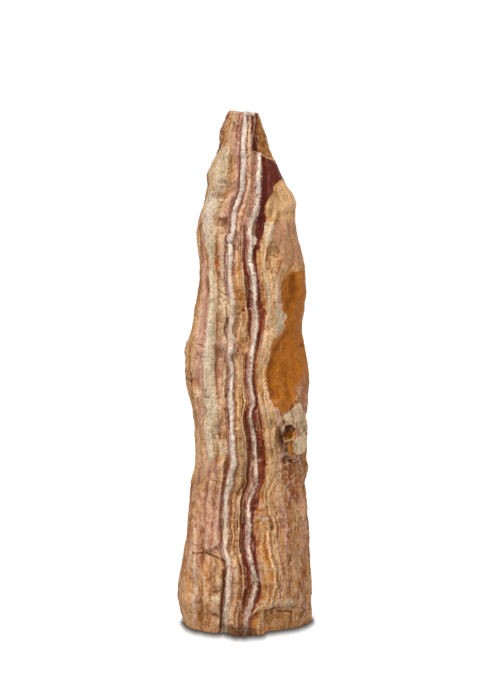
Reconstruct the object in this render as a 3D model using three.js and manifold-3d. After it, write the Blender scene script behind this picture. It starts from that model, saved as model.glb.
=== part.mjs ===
// Onyx monolith: a split pillar of banded onyx, standing on its sawn base.
//
// The pillar is one stone, built the way it grew and was broken. It is a row of upright layers that
// run from front to back. Each layer snapped off at its own depth, so the front and the back are
// flutes and ledges, and the outermost layers make the sides. Flat spalls, a notch, the undercut
// at the foot and a pit are then struck off the block.
//
// Units are millimetres. X runs to the right across the banded front, Y runs away from the viewer
// and Z runs up. The origin is the middle of the base, on the surface that the stone stands on.

import * as THREE from "three";
import { ImprovedNoise } from "three/addons/math/ImprovedNoise.js";
import { mergeVertices } from "three/addons/utils/BufferGeometryUtils.js";
import Module from "manifold-3d";

// Driving dimensions
const HEIGHT = 1206; // before the top is struck off
const ROW_STEP = 21.6; // height of one row of facets
const SEAM = 1.5; // half the width of the step between two layers
const THINNEST = 3.4; // a layer's least width, where it is squeezed at the sides
const WHITE_HALF = 6; // half the thickness of a white layer
const CREVICE = 6; // width of the crevice beside the first white layer
const OCHRE_SPLIT = [0.36, 0.68]; // where the layers between the two whites begin, as a share

// How the broken surface strays: an amount, and the distances over which it changes
const SWELL = { amount: 9, across: 110, up: 150 }; // the whole face
const CRAG = { amount: 6.5, across: 34, up: 47 }; // ridges and hollows
const GRIT = { amount: 3.4, across: 12, up: 21 }; // one facet to the next
const SWAY = { amount: 15, up: 170 }; // the layers, by the time they reach the back
const EDGE_CRAG = { amount: 13, across: 31, up: 43 }; // the sides, inward from the outline
const JAG = 15; // the ends of a ledge, up and down
const LEDGE = [1.5, 7]; // half the height of a step at a ledge, sharpest and softest
const TERRACE = 0.5; // how far each layer's break is flattened, from 0 to 1
const TOE = { amount: 33, middle: 8, flat: 26, half: 64, up: 88 }; // where the foot of the front juts out
const BACK_LEDGES = { first: 60, apart: 95, spread: 45, amount: 15 };

// Curves up the stone, each a list of [height, value]
const LEFT_SIDE = curve([
  [0, -146], [27, -154], [60, -159], [95, -159], [127, -154], [175, -144], [222, -139], [270, -135],
  [327, -130], [360, -123], [400, -118], [460, -118], [495, -122], [526, -129], [563, -139],
  [601, -144], [639, -143], [667, -138], [695, -127], [730, -122], [765, -115], [800, -110],
  [847, -108], [917, -112], [947, -110], [970, -105], [1000, -93], [1036, -86], [1052, -89],
  [1068, -86], [1096, -73], [1121, -59], [1137, -64], [1161, -61], [1184, -49], [1206, -36],
]);
const RIGHT_SIDE = curve([
  [0, 160], [27, 163], [60, 160], [103, 159], [151, 158], [199, 156], [246, 154], [294, 152],
  [336, 147], [360, 153], [389, 149], [417, 150], [460, 152], [495, 146], [530, 150], [573, 155],
  [606, 152], [636, 147], [667, 141], [695, 136], [737, 142], [800, 152], [835, 144], [868, 136],
  [898, 129], [933, 123], [964, 120], [991, 123], [1015, 114], [1031, 101], [1049, 90], [1063, 85],
  [1091, 72], [1119, 59], [1149, 51], [1179, 42], [1206, 29],
]);
const FRONT_DEPTH = curve([
  [0, 118], [70, 122], [190, 116], [380, 103], [520, 108], [640, 106], [800, 94], [960, 80],
  [1060, 67], [1120, 54], [1206, 33],
]);
const BACK_DEPTH = curve([
  [0, 114], [90, 121], [260, 108], [430, 113], [620, 98], [790, 91], [950, 70], [1080, 55],
  [1150, 42], [1206, 27],
]);

// How square the cross-section is: the lower the number, the flatter the front and the back
const SQUARENESS = curve([
  [0, 0.72], [250, 0.85], [480, 0.7], [700, 0.82], [900, 0.7], [1040, 0.55], [1206, 0.6],
]);

// How far back the left and the right edge stand
const LEFT_WAIST = curve([
  [0, 12], [140, -10], [300, 16], [470, 2], [600, 22], [760, -6], [900, 12], [1050, 0], [1206, 2],
]);
const RIGHT_WAIST = curve([
  [0, 26], [130, 8], [330, 30], [480, 10], [640, 32], [800, 14], [960, 24], [1080, 10], [1206, 4],
]);

// Layer edges on the front face
const KHAKI_LEFT = curve([
  [0, -97], [217, -94], [309, -88], [374, -80], [413, -87], [505, -95], [631, -95], [700, -89],
  [797, -83], [893, -95], [938, -98], [995, -91], [1028, -83], [1073, -76], [1107, -58], [1141, -47],
  [1206, -33],
]);
const KHAKI_RIGHT = curve([
  [0, -77], [217, -74], [374, -68], [448, -62], [642, -66], [779, -61], [847, -64], [915, -64],
  [967, -60], [1017, -44], [1051, -38], [1141, -33], [1206, -18],
]);
const FIRST_WHITE = curve([
  [0, -41], [66, -41], [101, -38], [136, -37], [171, -40], [198, -46], [229, -46], [286, -45],
  [321, -42], [363, -36], [390, -27], [425, -29], [517, -32], [562, -33], [597, -31], [631, -36],
  [658, -33], [688, -35], [722, -31], [756, -31], [795, -34], [854, -35], [893, -33], [922, -27],
  [961, -26], [983, -22], [1017, -10], [1051, -7], [1091, -3], [1141, -6], [1206, 2],
]);
const SECOND_WHITE = curve([
  [0, -1], [43, 1], [66, 9], [89, 17], [124, 22], [152, 17], [182, 10], [205, 5], [252, 8],
  [305, 8], [333, 16], [367, 23], [413, 23], [448, 21], [482, 14], [512, 10], [539, 17], [574, 12],
  [642, 15], [688, 21], [722, 25], [791, 22], [825, 19], [847, 12], [915, 10], [938, 11],
  [961, 19], [983, 26], [1051, 30], [1098, 34], [1206, 24],
]);
const RED_RIGHT = curve([
  [0, 13], [59, 20], [82, 33], [106, 37], [136, 33], [178, 27], [263, 22], [293, 25], [333, 38],
  [367, 49], [402, 48], [494, 37], [585, 25], [631, 27], [665, 35], [704, 40], [741, 47],
  [761, 40], [802, 33], [881, 26], [913, 37], [949, 47], [988, 51], [1028, 54], [1206, 31],
]);
const LIGHT_LINE = curve([
  [0, 60], [78, 72], [113, 82], [147, 83], [194, 70], [240, 70], [309, 55], [349, 65], [379, 73],
  [448, 64], [544, 50], [581, 43], [608, 44], [638, 56], [677, 60], [734, 60], [786, 57],
  [825, 49], [863, 49], [922, 62], [961, 74], [1028, 70], [1206, 33],
]);
const AMBER_LEFT = curve([
  [0, 107], [147, 102], [286, 91], [333, 84], [379, 88], [425, 95], [482, 88], [517, 77],
  [539, 61], [608, 53], [642, 62], [670, 69], [690, 90], [729, 97], [768, 87], [818, 88],
  [854, 105], [961, 97], [1028, 84], [1098, 52], [1206, 30],
]);

// The cross-section, as the share of the full depth that is reached at each share of the width
const FRONT_SECTION = curve([
  [0, 0], [0.02, 0.2], [0.06, 0.46], [0.14, 0.7], [0.28, 0.92], [0.46, 1], [0.62, 0.95],
  [0.76, 0.76], [0.88, 0.48], [0.96, 0.22], [1, 0],
]);
const BACK_SECTION = curve([
  [0, 0], [0.03, 0.24], [0.1, 0.55], [0.26, 0.88], [0.5, 1], [0.7, 0.92], [0.86, 0.66], [0.96, 0.3],
  [1, 0],
]);

// The layers from left to right. columns are shares of the layer's width, rough is how much of the
// crags and grit it took, and front lists [height, how far the break stands proud from there up].
const LAYERS = [
  {
    name: "rind",
    columns: [0.07, 0.2, 0.38, 0.64, 1],
    rough: 1.5,
    front: [
      [0, -4], [66, 5], [140, -3], [235, 4], [330, -2], [425, -8], [505, 3], [610, 6], [700, -4],
      [810, 2], [882, -3], [960, 2], [1040, -1], [1098, 2],
    ],
  },
  {
    name: "khaki",
    columns: [0, 0.5, 1],
    rough: 0.9,
    front: [
      [0, 0], [54, 6], [124, 2], [194, 12], [290, 7], [379, -2], [448, 1], [516, 4], [654, 6],
      [791, 2], [854, 5], [922, 1], [983, 4], [1051, 6], [1120, 3],
    ],
  },
  {
    name: "rose",
    columns: [0, 0.5, 1],
    rough: 1.1,
    front: [
      [0, 0], [54, 8], [124, 3], [194, 13], [290, 7], [379, -4], [448, -7], [516, -3], [590, -8],
      [654, 1], [710, -2], [760, -7], [830, 3], [922, -6], [957, 5], [1010, -4], [1098, 0],
    ],
  },
  {
    name: "crevice",
    columns: [0, 1],
    rough: 0.7,
    front: [
      [0, -10], [110, -6], [215, -10], [330, -7], [400, -5], [470, -9], [560, -7], [640, -3],
      [690, -7], [800, -6], [900, -3],
    ],
  },
  {
    name: "first white",
    columns: [0, 0.5, 1],
    rough: 0.9,
    front: [
      [0, -5], [60, 1], [160, 4], [240, 1], [344, 6], [400, 3], [455, 6], [540, 4], [600, 6],
      [640, 12], [676, 4], [860, 5], [893, 12], [929, 4], [1010, 3], [1098, 6],
    ],
  },
  {
    name: "ochre",
    columns: [0, 1],
    rough: 0.9,
    front: [
      [0, -7], [120, -2], [300, 0], [448, -2], [600, -1], [690, -6], [750, -2], [854, 1], [940, -1],
      [1051, 1],
    ],
  },
  {
    name: "orange",
    columns: [0, 1],
    rough: 0.9,
    front: [[0, -5], [160, 0], [379, 1], [516, -1], [654, -4], [741, 1], [908, 0], [1010, 2], [1120, 5]],
  },
  {
    name: "maroon",
    columns: [0, 1],
    rough: 0.8,
    front: [
      [0, -7], [120, -4], [379, -6], [470, -10], [516, -3], [654, -8], [760, -9], [850, -4], [900, -2],
    ],
  },
  {
    name: "second white",
    columns: [0, 0.5, 1],
    rough: 0.8,
    front: [
      [0, -4], [124, 2], [300, 4], [400, 0], [440, 3], [482, -3], [520, 4], [654, 2], [800, 3],
      [900, 7], [983, 3],
    ],
  },
  {
    name: "dark red",
    columns: [0, 1],
    rough: 0.6,
    front: [[0, -7], [160, -3], [300, 1], [390, -4], [482, -6], [560, -3], [690, 2], [741, -3], [900, -5]],
  },
  {
    name: "cream",
    columns: [0, 0.5, 1],
    rough: 1,
    front: [
      [0, -6], [56, 5], [194, 3], [300, 6], [379, 2], [470, 4], [600, 8], [690, 6], [760, 2], [840, 6],
      [957, 6],
    ],
  },
  {
    name: "tan",
    columns: [0, 0.5, 1],
    rough: 1,
    front: [
      [0, -5], [56, 8], [190, 4], [309, 5], [400, 0], [500, 4], [600, 7], [660, 10], [715, 6],
      [790, 5], [960, 6],
    ],
  },
  {
    name: "amber",
    columns: [0, 0.25, 0.5, 0.72, 0.87, 0.96],
    rough: 1,
    front: [
      [0, -4], [56, 5], [190, 2], [309, 5], [379, 1], [440, 4], [530, -7], [654, -8], [790, -3],
      [860, 3], [930, 6],
    ],
  },
];

// Spalls struck off the block, each a shallow scar with a few flat facets. facing is in degrees from
// the front, counter-clockwise as seen from above; lean tips the scar to face upward and roll turns
// it in its own plane. deep is how far it cuts below the block's tangent there, and size is its
// width and its height.
const SPALLS = [
  // the right of the front
  { facing: 42, height: 1015, deep: 12, lean: 13, roll: -12, size: [90, 190] },
  { facing: 55, height: 900, deep: 9, lean: 4, roll: 20, size: [110, 130] },
  { facing: 48, height: 690, deep: 14, lean: 0, roll: 5, size: [100, 330] },
  { facing: 66, height: 560, deep: 9, lean: 4, roll: -18, size: [130, 140] },
  { facing: 36, height: 310, deep: 8, lean: 5, roll: 8, size: [110, 210] },
  { facing: 60, height: 190, deep: 10, lean: -2, roll: -15, size: [140, 190] },
  { facing: 70, height: 800, deep: 6, lean: 5, roll: 12, size: [90, 150] },
  { facing: 68, height: 400, deep: 6, lean: 0, roll: -9, size: [90, 170] },
  // the left of the front
  { facing: -50, height: 120, deep: 11, lean: 4, roll: 17, size: [110, 170] },
  { facing: -64, height: 330, deep: 9, lean: 4, roll: -12, size: [110, 230] },
  { facing: -42, height: 545, deep: 8, lean: -6, roll: 19, size: [90, 150] },
  { facing: -68, height: 720, deep: 9, lean: 6, roll: 9, size: [110, 190] },
  { facing: -50, height: 890, deep: 8, lean: 4, roll: -14, size: [90, 170] },
  { facing: -60, height: 1080, deep: 7, lean: 15, roll: 12, size: [80, 120] },
  // the back
  { facing: 116, height: 250, deep: 13, lean: 4, roll: 10, size: [170, 270] },
  { facing: 134, height: 500, deep: 12, lean: -3, roll: -15, size: [130, 240] },
  { facing: 119, height: 760, deep: 13, lean: 7, roll: 9, size: [140, 280] },
  { facing: 150, height: 1020, deep: 11, lean: 15, roll: -14, size: [110, 210] },
  { facing: 172, height: 360, deep: 10, lean: 3, roll: 19, size: [100, 240] },
  { facing: 188, height: 740, deep: 11, lean: 6, roll: -11, size: [100, 260] },
  { facing: 210, height: 140, deep: 12, lean: -2, roll: 9, size: [140, 210] },
  { facing: 238, height: 430, deep: 13, lean: 4, roll: -9, size: [150, 260] },
  { facing: 226, height: 890, deep: 12, lean: 7, roll: 14, size: [120, 250] },
  { facing: 246, height: 660, deep: 10, lean: 3, roll: 4, size: [110, 190] },
  { facing: 250, height: 1110, deep: 7, lean: 18, roll: 0, size: [80, 120] },
];
const SCAR_THICKNESS = 3; // how much thicker a spall was than the depth of its scar
const SCAR_ROUGHNESS = 0.22; // how far a scar strays from even, as a share of its size

// Skewed chips struck off the block, each a corner and the three edges that leave it
const CHIPS = [
  // the top, and its brow that tips forward
  { corner: [-120, -90, 1205], edges: [[220, 0, -14], [0, 180, 10], [0, 0, 60]] },
  { corner: [-16, -90, 1180], edges: [[120, 0, -8], [0, 120, 42], [0, 0, 60]] },
  // the notch above the shoulder
  { corner: [16, -20, 1112], edges: [[90, 52, -34], [14, 12, 110], [4, -90, -3]] },
  // the undercut at the right of the foot
  { corner: [46, -102, 56], edges: [[84, 44, 4], [6, 24, -77], [-22, -90, 12]] },
];

// The pit in the right of the front: overlapping hollows, each a centre and three half-sizes
const PITS = [
  { centre: [80, -68, 438], radii: [11, 24, 44] },
  { centre: [99, -64, 462], radii: [20, 20, 19] },
  { centre: [106, -45, 395], radii: [30, 17, 9] },
];
const PIT_ROUGHNESS = 0.5; // how far a hollow strays from round, as a share of its size

const wasm = await Module();
wasm.setup();
const noise = new ImprovedNoise();

/** Returns the smooth curve through a list of [height, value]. */
function curve(points) {
  const heights = points.map(([height]) => height);
  const values = points.map(([, value]) => value);
  const keys = new THREE.CubicInterpolant(heights, values, 1);
  return (height) => keys.evaluate(height)[0];
}

/** The layers' edges from the left side of the stone to the right, at one height. */
function layerEdges(height, drift) {
  const white1 = FIRST_WHITE(height);
  const white2 = SECOND_WHITE(height);
  const between = white2 - white1 - 2 * WHITE_HALF;
  const edges = [
    LEFT_SIDE(height) - drift,
    KHAKI_LEFT(height),
    KHAKI_RIGHT(height),
    white1 - WHITE_HALF - CREVICE,
    white1 - WHITE_HALF,
    white1 + WHITE_HALF,
    white1 + WHITE_HALF + between * OCHRE_SPLIT[0],
    white1 + WHITE_HALF + between * OCHRE_SPLIT[1],
    white2 - WHITE_HALF,
    white2 + WHITE_HALF,
    RED_RIGHT(height),
    LIGHT_LINE(height),
    AMBER_LEFT(height),
    RIGHT_SIDE(height) - drift,
  ].map((edge) => edge + drift);
  const last = edges.length - 1;
  for (let i = last - 1; i > 0; i--) edges[i] = Math.min(edges[i], edges[i + 1] - THINNEST);
  for (let i = 1; i < last; i++) edges[i] = Math.max(edges[i], edges[i - 1] + THINNEST);
  return edges;
}

/** The layers' drift sideways, which only shows at the back. */
function driftAt(side, height) {
  return side > 0 ? SWAY.amount * Math.sin(height / SWAY.up + 1) : 0;
}

/** One of the ways in which the surface strays, at a place across and up one side. */
function strayAt({ amount, across, up }, x, side, height) {
  return amount * noise.noise(x / across + 0.3, side * amount, height / up);
}

/** How far a point near the left or the right edge strays inward. reach is its share of the depth. */
function sideStray(x, reach, side, height) {
  const inward = Math.abs(strayAt(EDGE_CRAG, x, side, height)) * Math.max(0, 1 - reach);
  return x < 0 ? inward : -inward;
}

/** How far the toe juts out of the foot of the front. */
function toeAt(x, side, height) {
  const across = THREE.MathUtils.smoothstep(-Math.abs(x - TOE.middle), -TOE.half, -TOE.flat);
  return side < 0 ? TOE.amount * across * Math.max(0, 1 - height / TOE.up) : 0;
}

/** How far a list of [height, amount] says the layer stands proud at one height. */
function proudAt(steps, height) {
  const reached = steps.filter(([from]) => from <= height);
  return reached.length ? reached.at(-1)[1] : steps[0][1];
}

/** The ledges on the back, which are strewn by noise: a list of [height, amount] for one layer. */
function backSteps(layer) {
  const { first, apart, spread, amount } = BACK_LEDGES;
  const steps = [[0, 0]];
  let height = first;
  while (height < HEIGHT) {
    steps.push([height, amount * noise.noise(layer * 0.83 + 0.5, height / 47, 9.5)]);
    height += apart + spread * noise.noise(layer * 1.7, height / 61, 4.5);
  }
  return steps;
}

/** One column's own ledges: the layer's, each a little higher or lower here. */
function jaggedSteps(steps, layer, share) {
  return steps.map(([from, amount], i) => {
    const shift = JAG * 2 * noise.noise(layer * 2.3 + share * 1.9, i * 0.77 + 0.4, 6.5);
    return [i === 0 ? from : from + shift, amount];
  });
}

/** Row heights up one column, with a pair of rows pulled to each ledge. */
function rowHeights(steps, rows) {
  const heights = Array.from({ length: rows + 1 }, (_, row) => (row * HEIGHT) / rows);
  let taken = 0;
  for (const [from, amount] of steps.slice(1)) {
    const below = Math.floor((from * rows) / HEIGHT);
    if (below <= taken || below + 1 >= rows) continue;
    const softness = Math.abs(noise.noise(from / 37, amount, 2.5));
    const half = THREE.MathUtils.lerp(...LEDGE, Math.min(1, 2 * softness));
    heights[below] = from - half;
    heights[below + 1] = from + half;
    taken = below + 1;
  }
  return heights;
}

/** A point of the block's skin. side is -1 on the front and 1 on the back. */
function skinPoint(layer, share, side, steps, height) {
  const edges = layerEdges(height, driftAt(side, height));
  const low = edges[layer] + SEAM;
  const high = edges[layer + 1] - SEAM;
  const straight = THREE.MathUtils.lerp(low, high, share);
  const across = (at) => THREE.MathUtils.clamp((at - edges[0]) / (edges.at(-1) - edges[0]), 0, 1);
  const section = side > 0 ? BACK_SECTION : FRONT_SECTION;
  const reachOf = (at) => section(across(at)) ** SQUARENESS(height);
  const sloped = reachOf(straight);
  const x = straight + sideStray(straight, sloped, side, height);
  const outermost = layer === 0 || layer === LAYERS.length - 1;
  const flat = outermost ? sloped : reachOf((low + high) / 2);
  const depth = side > 0 ? BACK_DEPTH(height) : FRONT_DEPTH(height);
  const reach = depth * THREE.MathUtils.lerp(sloped, flat, TERRACE);
  const { rough } = LAYERS[layer];
  const proud =
    proudAt(steps, height) +
    toeAt(x, side, height) +
    strayAt(SWELL, x, side, height) +
    strayAt(CRAG, x, side, height) * rough +
    strayAt(GRIT, x, side, height) * rough;
  const fade = Math.min(1, sloped * 1.5);
  const waist = THREE.MathUtils.lerp(LEFT_WAIST(height), RIGHT_WAIST(height), across(straight));
  return new THREE.Vector3(x, waist + side * (reach + proud * fade), height);
}

/** The columns of the block's skin, counter-clockwise from the left edge as seen from above. */
function skinColumns(rows) {
  const edgeColumn = (outline, waist) =>
    rowHeights([[0, 0]], rows).map((height) => new THREE.Vector3(outline(height), waist(height), height));
  const faceColumn = (layer, share, side, steps) => {
    const own = jaggedSteps(steps, layer, share);
    return rowHeights(own, rows).map((height) => skinPoint(layer, share, side, own, height));
  };
  const front = LAYERS.flatMap((layer, i) =>
    layer.columns.map((share) => faceColumn(i, share, -1, layer.front)),
  );
  const back = LAYERS.flatMap(({ columns }, i) => {
    const outermost = i === 0 || i === LAYERS.length - 1;
    const shares = outermost ? columns : [0.5];
    return shares.map((share) => faceColumn(i, share, 1, backSteps(i)));
  });
  return [
    edgeColumn(LEFT_SIDE, LEFT_WAIST),
    ...front,
    edgeColumn(RIGHT_SIDE, RIGHT_WAIST),
    ...back.reverse(),
  ];
}

/** The whole block before anything is struck off it: a closed skin with a flat foot and head. */
function blockGeometry() {
  const rows = Math.round(HEIGHT / ROW_STEP);
  const columns = skinColumns(rows);
  const count = columns.length;
  const points = columns.flat();
  const at = (column, row) => (column % count) * (rows + 1) + row;
  const faces = [];
  for (let column = 0; column < count; column++) {
    for (let row = 0; row < rows; row++) {
      const [a, b] = [at(column, row), at(column + 1, row)];
      const [d, c] = [at(column, row + 1), at(column + 1, row + 1)];
      // The shorter diagonal keeps thin facets apart.
      const straight = points[a].distanceTo(points[c]) < points[b].distanceTo(points[d]);
      faces.push(...(straight ? [a, b, c, a, c, d] : [a, b, d, b, c, d]));
    }
  }
  for (const [row, flip] of [[0, true], [rows, false]]) {
    const rim = columns.map((column) => new THREE.Vector2(column[row].x, column[row].y));
    for (const corners of THREE.ShapeUtils.triangulateShape(rim, [])) {
      const face = corners.map((column) => at(column, row));
      faces.push(...(flip ? face.reverse() : face));
    }
  }
  const geometry = new THREE.BufferGeometry().setFromPoints(points);
  geometry.setIndex(faces);
  return geometry;
}

/** A ball of flat facets that strays from round. seed tells one ball from the next. */
function roughBall(detail, roughness, seed) {
  const ball = new THREE.IcosahedronGeometry(1, detail);
  const positions = ball.attributes.position;
  const point = new THREE.Vector3();
  for (let i = 0; i < positions.count; i++) {
    point.fromBufferAttribute(positions, i);
    const stray = noise.noise(point.x * 2 + seed, point.y * 2 + 0.5, point.z * 2);
    point.multiplyScalar(1 + roughness * stray);
    positions.setXYZ(i, ...point);
  }
  return ball;
}

/** The outermost point of a geometry near one height, in one direction. */
function outermostPoint(geometry, outward, height) {
  const positions = geometry.attributes.position;
  const points = Array.from({ length: positions.count }, (_, i) =>
    new THREE.Vector3().fromBufferAttribute(positions, i),
  );
  const near = points.filter((point) => Math.abs(point.z - height) < ROW_STEP);
  return near.reduce((best, point) => (point.dot(outward) > best.dot(outward) ? point : best));
}

/** The flat, rough lens that strikes a spall off a block. */
function spallGeometry(block, { facing, height, deep, lean, roll, size }) {
  const angle = THREE.MathUtils.degToRad(facing);
  const outward = new THREE.Vector3(Math.sin(angle), -Math.cos(angle), 0);
  const half = deep * SCAR_THICKNESS;
  const centre = outermostPoint(block, outward, height).addScaledVector(outward, half - deep);
  // The lens is wider than its scar, by as much as its rim stays outside the block.
  const spread = 0.5 / Math.sqrt(1 - (1 - 1 / SCAR_THICKNESS) ** 2);
  const [width, tall] = size;
  return roughBall(1, SCAR_ROUGHNESS, facing + height)
    .scale(width * spread, half, tall * spread)
    .rotateY(THREE.MathUtils.degToRad(roll))
    .rotateX(THREE.MathUtils.degToRad(-lean))
    .rotateZ(angle)
    .translate(centre.x, centre.y, height);
}

/** A skewed box from one corner along three edges. */
function chipGeometry({ corner, edges }) {
  const [u, v, w] = edges.map((edge) => new THREE.Vector3(...edge));
  const turned = u.clone().cross(v).dot(w) < 0;
  const skew = new THREE.Matrix4().makeBasis(...(turned ? [v, u, w] : [u, v, w]));
  const box = new THREE.BoxGeometry(1, 1, 1).translate(0.5, 0.5, 0.5);
  return box.applyMatrix4(skew.setPosition(...corner));
}

/** A rough hollow, from its centre and three half-sizes. */
function pitGeometry({ centre, radii }) {
  return roughBall(2, PIT_ROUGHNESS, centre[0]).scale(...radii).translate(...centre);
}

/** A manifold-3d solid from a closed three.js geometry. */
function solidOf(geometry) {
  geometry.deleteAttribute("normal");
  geometry.deleteAttribute("uv");
  const merged = mergeVertices(geometry, 1e-3);
  const mesh = new wasm.Mesh({
    numProp: 3,
    vertProperties: merged.attributes.position.array,
    triVerts: new Uint32Array(merged.index.array),
  });
  return new wasm.Manifold(mesh);
}

/** A three.js geometry from a manifold-3d solid. */
function geometryOf(solid) {
  const { vertProperties, triVerts } = solid.getMesh();
  const geometry = new THREE.BufferGeometry();
  geometry.setAttribute("position", new THREE.BufferAttribute(vertProperties, 3));
  geometry.setIndex(new THREE.BufferAttribute(triVerts, 1));
  geometry.computeVertexNormals();
  return geometry;
}

/** The finished stone, centred over the origin: the block with all that is struck off it. */
function monolithGeometry() {
  const block = blockGeometry();
  const struck = [
    ...SPALLS.map((spall) => spallGeometry(block, spall)),
    ...CHIPS.map(chipGeometry),
    ...PITS.map(pitGeometry),
  ];
  const left = struck.reduce((solid, piece) => solid.subtract(solidOf(piece)), solidOf(block));
  const geometry = geometryOf(left);
  geometry.computeBoundingBox();
  const middle = geometry.boundingBox.getCenter(new THREE.Vector3());
  return geometry.translate(-middle.x, -middle.y, 0);
}

const onyx = new THREE.MeshStandardMaterial({
  color: 0xb98a62,
  roughness: 0.5,
  metalness: 0,
  flatShading: true,
});
const monolith = new THREE.Mesh(monolithGeometry(), onyx);
monolith.name = "monolith";

const stone = new THREE.Group();
stone.add(monolith);

export default stone;
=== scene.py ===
"""Dresses the split onyx monolith for its studio picture.

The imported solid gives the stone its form. This script lays a finer skin over that form, split, cracked
and grained along the growth layers, colours the layers and the faces that the breaks laid bare, and
stands the stone on a pale floor under soft light.
"""
import logging
import math
from dataclasses import dataclass, field
from enum import Enum
from functools import cached_property
from typing import Callable

import bmesh
import bpy
import numpy as np
from mathutils.kdtree import KDTree
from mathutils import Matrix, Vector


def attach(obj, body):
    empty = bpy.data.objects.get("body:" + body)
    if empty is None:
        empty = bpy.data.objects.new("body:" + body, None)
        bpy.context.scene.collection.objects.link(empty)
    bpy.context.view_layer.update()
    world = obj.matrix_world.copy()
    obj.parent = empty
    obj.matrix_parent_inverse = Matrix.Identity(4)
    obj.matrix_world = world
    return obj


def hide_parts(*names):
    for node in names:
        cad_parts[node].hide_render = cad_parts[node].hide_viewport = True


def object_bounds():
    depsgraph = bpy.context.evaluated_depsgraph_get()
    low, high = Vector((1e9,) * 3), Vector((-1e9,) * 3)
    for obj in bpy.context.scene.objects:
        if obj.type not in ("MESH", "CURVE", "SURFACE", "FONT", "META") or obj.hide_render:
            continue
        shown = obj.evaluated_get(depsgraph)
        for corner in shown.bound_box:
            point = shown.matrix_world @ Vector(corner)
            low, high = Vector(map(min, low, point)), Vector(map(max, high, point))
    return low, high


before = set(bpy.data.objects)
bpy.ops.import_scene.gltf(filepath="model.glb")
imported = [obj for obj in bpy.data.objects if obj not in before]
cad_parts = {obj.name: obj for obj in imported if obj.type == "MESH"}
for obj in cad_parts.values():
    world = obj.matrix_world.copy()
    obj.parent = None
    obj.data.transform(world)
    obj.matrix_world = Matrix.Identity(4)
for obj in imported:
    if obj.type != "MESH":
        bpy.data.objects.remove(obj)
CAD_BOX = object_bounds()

log = logging.getLogger("monolith")
MM = 1000.0  # millimetres in a metre: sizes below are in millimetres
CENTRING = -0.6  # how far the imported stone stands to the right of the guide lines
LAYER_COUNT = 13
CREVICE = 3  # which layer is the dark crevice
WHITES = (4, 8)  # which layers are white
WAXY = ("red_face", "cream_face", "honey_face")  # the faces that broke smooth
FAR = 1e9
FAR_KEPT = 30.0  # distances to an edge are kept up to this far
SETTLED = 3.0  # what lies lower than this touches the floor


class Tint(Enum):
    """The stone's colours, in a maker's names."""

    CHALK = "e8d7c8"
    BONE = "d6c0aa"
    LILAC = "a98478"
    KHAKI = "ccb697"
    SAGE = "b39a79"
    SAND = "d3b58e"
    CREAM = "deb07c"
    PEACH = "d8aa86"
    BLUSH = "cb9a80"
    ROSE = "b27e66"
    TAN = "b3824e"
    FAWN = "c39564"
    OCHRE = "bb7e3b"
    ORANGE = "bd7420"
    GOLD = "bf8a34"
    HONEY = "a45f16"
    DEEP_HONEY = "8c4e0c"
    RUST = "823c1e"
    BRICK = "97512a"
    COPPER = "a66735"
    OXBLOOD = "5c1f12"
    PLUM = "571a15"
    WINE = "7b372a"
    MAUVE = "926357"
    UMBER = "6d381d"
    BROWN = "925b30"
    DUSK = "6a4733"
    SOOT = "47301f"
    LICHEN = "85735a"
    PAPER = "f7f7f7"
    SHADOW = "3a3532"

    @property
    def colour(self) -> tuple[float, float, float, float]:
        """The colour as the light values that a shader takes.

        Returns:
            Red, green and blue as light, and 1.
        """
        parts = [int(self.value[i : i + 2], 16) / 255 for i in (0, 2, 4)]
        light = [p / 12.92 if p <= 0.04045 else ((p + 0.055) / 1.055) ** 2.4 for p in parts]
        return (light[0], light[1], light[2], 1.0)


Stops = tuple[tuple[float, Tint], ...]
Points = tuple[tuple[float, float], ...]


def tints(listed: str) -> Stops:
    """Reads a ramp's stops, written as each one's place and tint: "0 brown 0.2 tan"."""
    words = listed.split()
    return tuple((float(place), Tint[tint.upper()]) for place, tint in zip(words[::2], words[1::2]))


def banded(listed: str, soft: float) -> Stops:
    """Turns bands into a ramp's stops.

    Args:
        listed: Where each band starts, and its tint, as words.
        soft: Half the width of the soft edge between two bands.

    Returns:
        Stops with a soft edge between the bands.
    """
    bands = tints(listed)
    stops = [(0.0, bands[0][1])]
    for (_, before), (start, tint) in zip(bands, bands[1:]):
        stops += [(start - soft, before), (start + soft, tint)]
    return tuple(stops)


@dataclass(frozen=True)
class Guide:
    """A smooth line up the stone, through knots of height and place across."""

    knots: Points

    def at(self, heights: np.ndarray) -> np.ndarray:
        """Reads the line.

        Args:
            heights: Heights above the base, in millimetres.

        Returns:
            The line's place across at each height.
        """
        keys, places = np.array(self.knots, float).T
        last = len(keys) - 1
        clipped = np.clip(heights, keys[0], keys[-1])
        right = np.clip(np.searchsorted(keys, clipped, side="right"), 1, last)
        left, beyond = right - 1, np.minimum(right + 1, last)
        start, end = keys[left], keys[right]
        before = np.where(left > 0, keys[left - 1], end)
        after = np.where(right < last, keys[beyond], start)
        place_before = np.where(left > 0, places[left - 1], places[right])
        place_after = np.where(right < last, places[beyond], places[left])
        half = (end - start) / 2
        weight_before = half / (start - before)
        weight_after = half / (after - end)
        p = (clipped - start) / (end - start)
        pp = p * p
        ppp = pp * p
        share_before = weight_before * (-ppp + 2 * pp - p)
        share_start = (1 + weight_before) * ppp + (-1.5 - 2 * weight_before) * pp
        share_start = share_start + (-0.5 + weight_before) * p + 1
        share_end = (-1 - weight_after) * ppp + (1.5 + weight_after) * pp + 0.5 * p
        share_after = weight_after * (ppp - pp)
        return (
            share_before * place_before
            + share_start * places[left]
            + share_end * places[right]
            + share_after * place_after
        )


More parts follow.
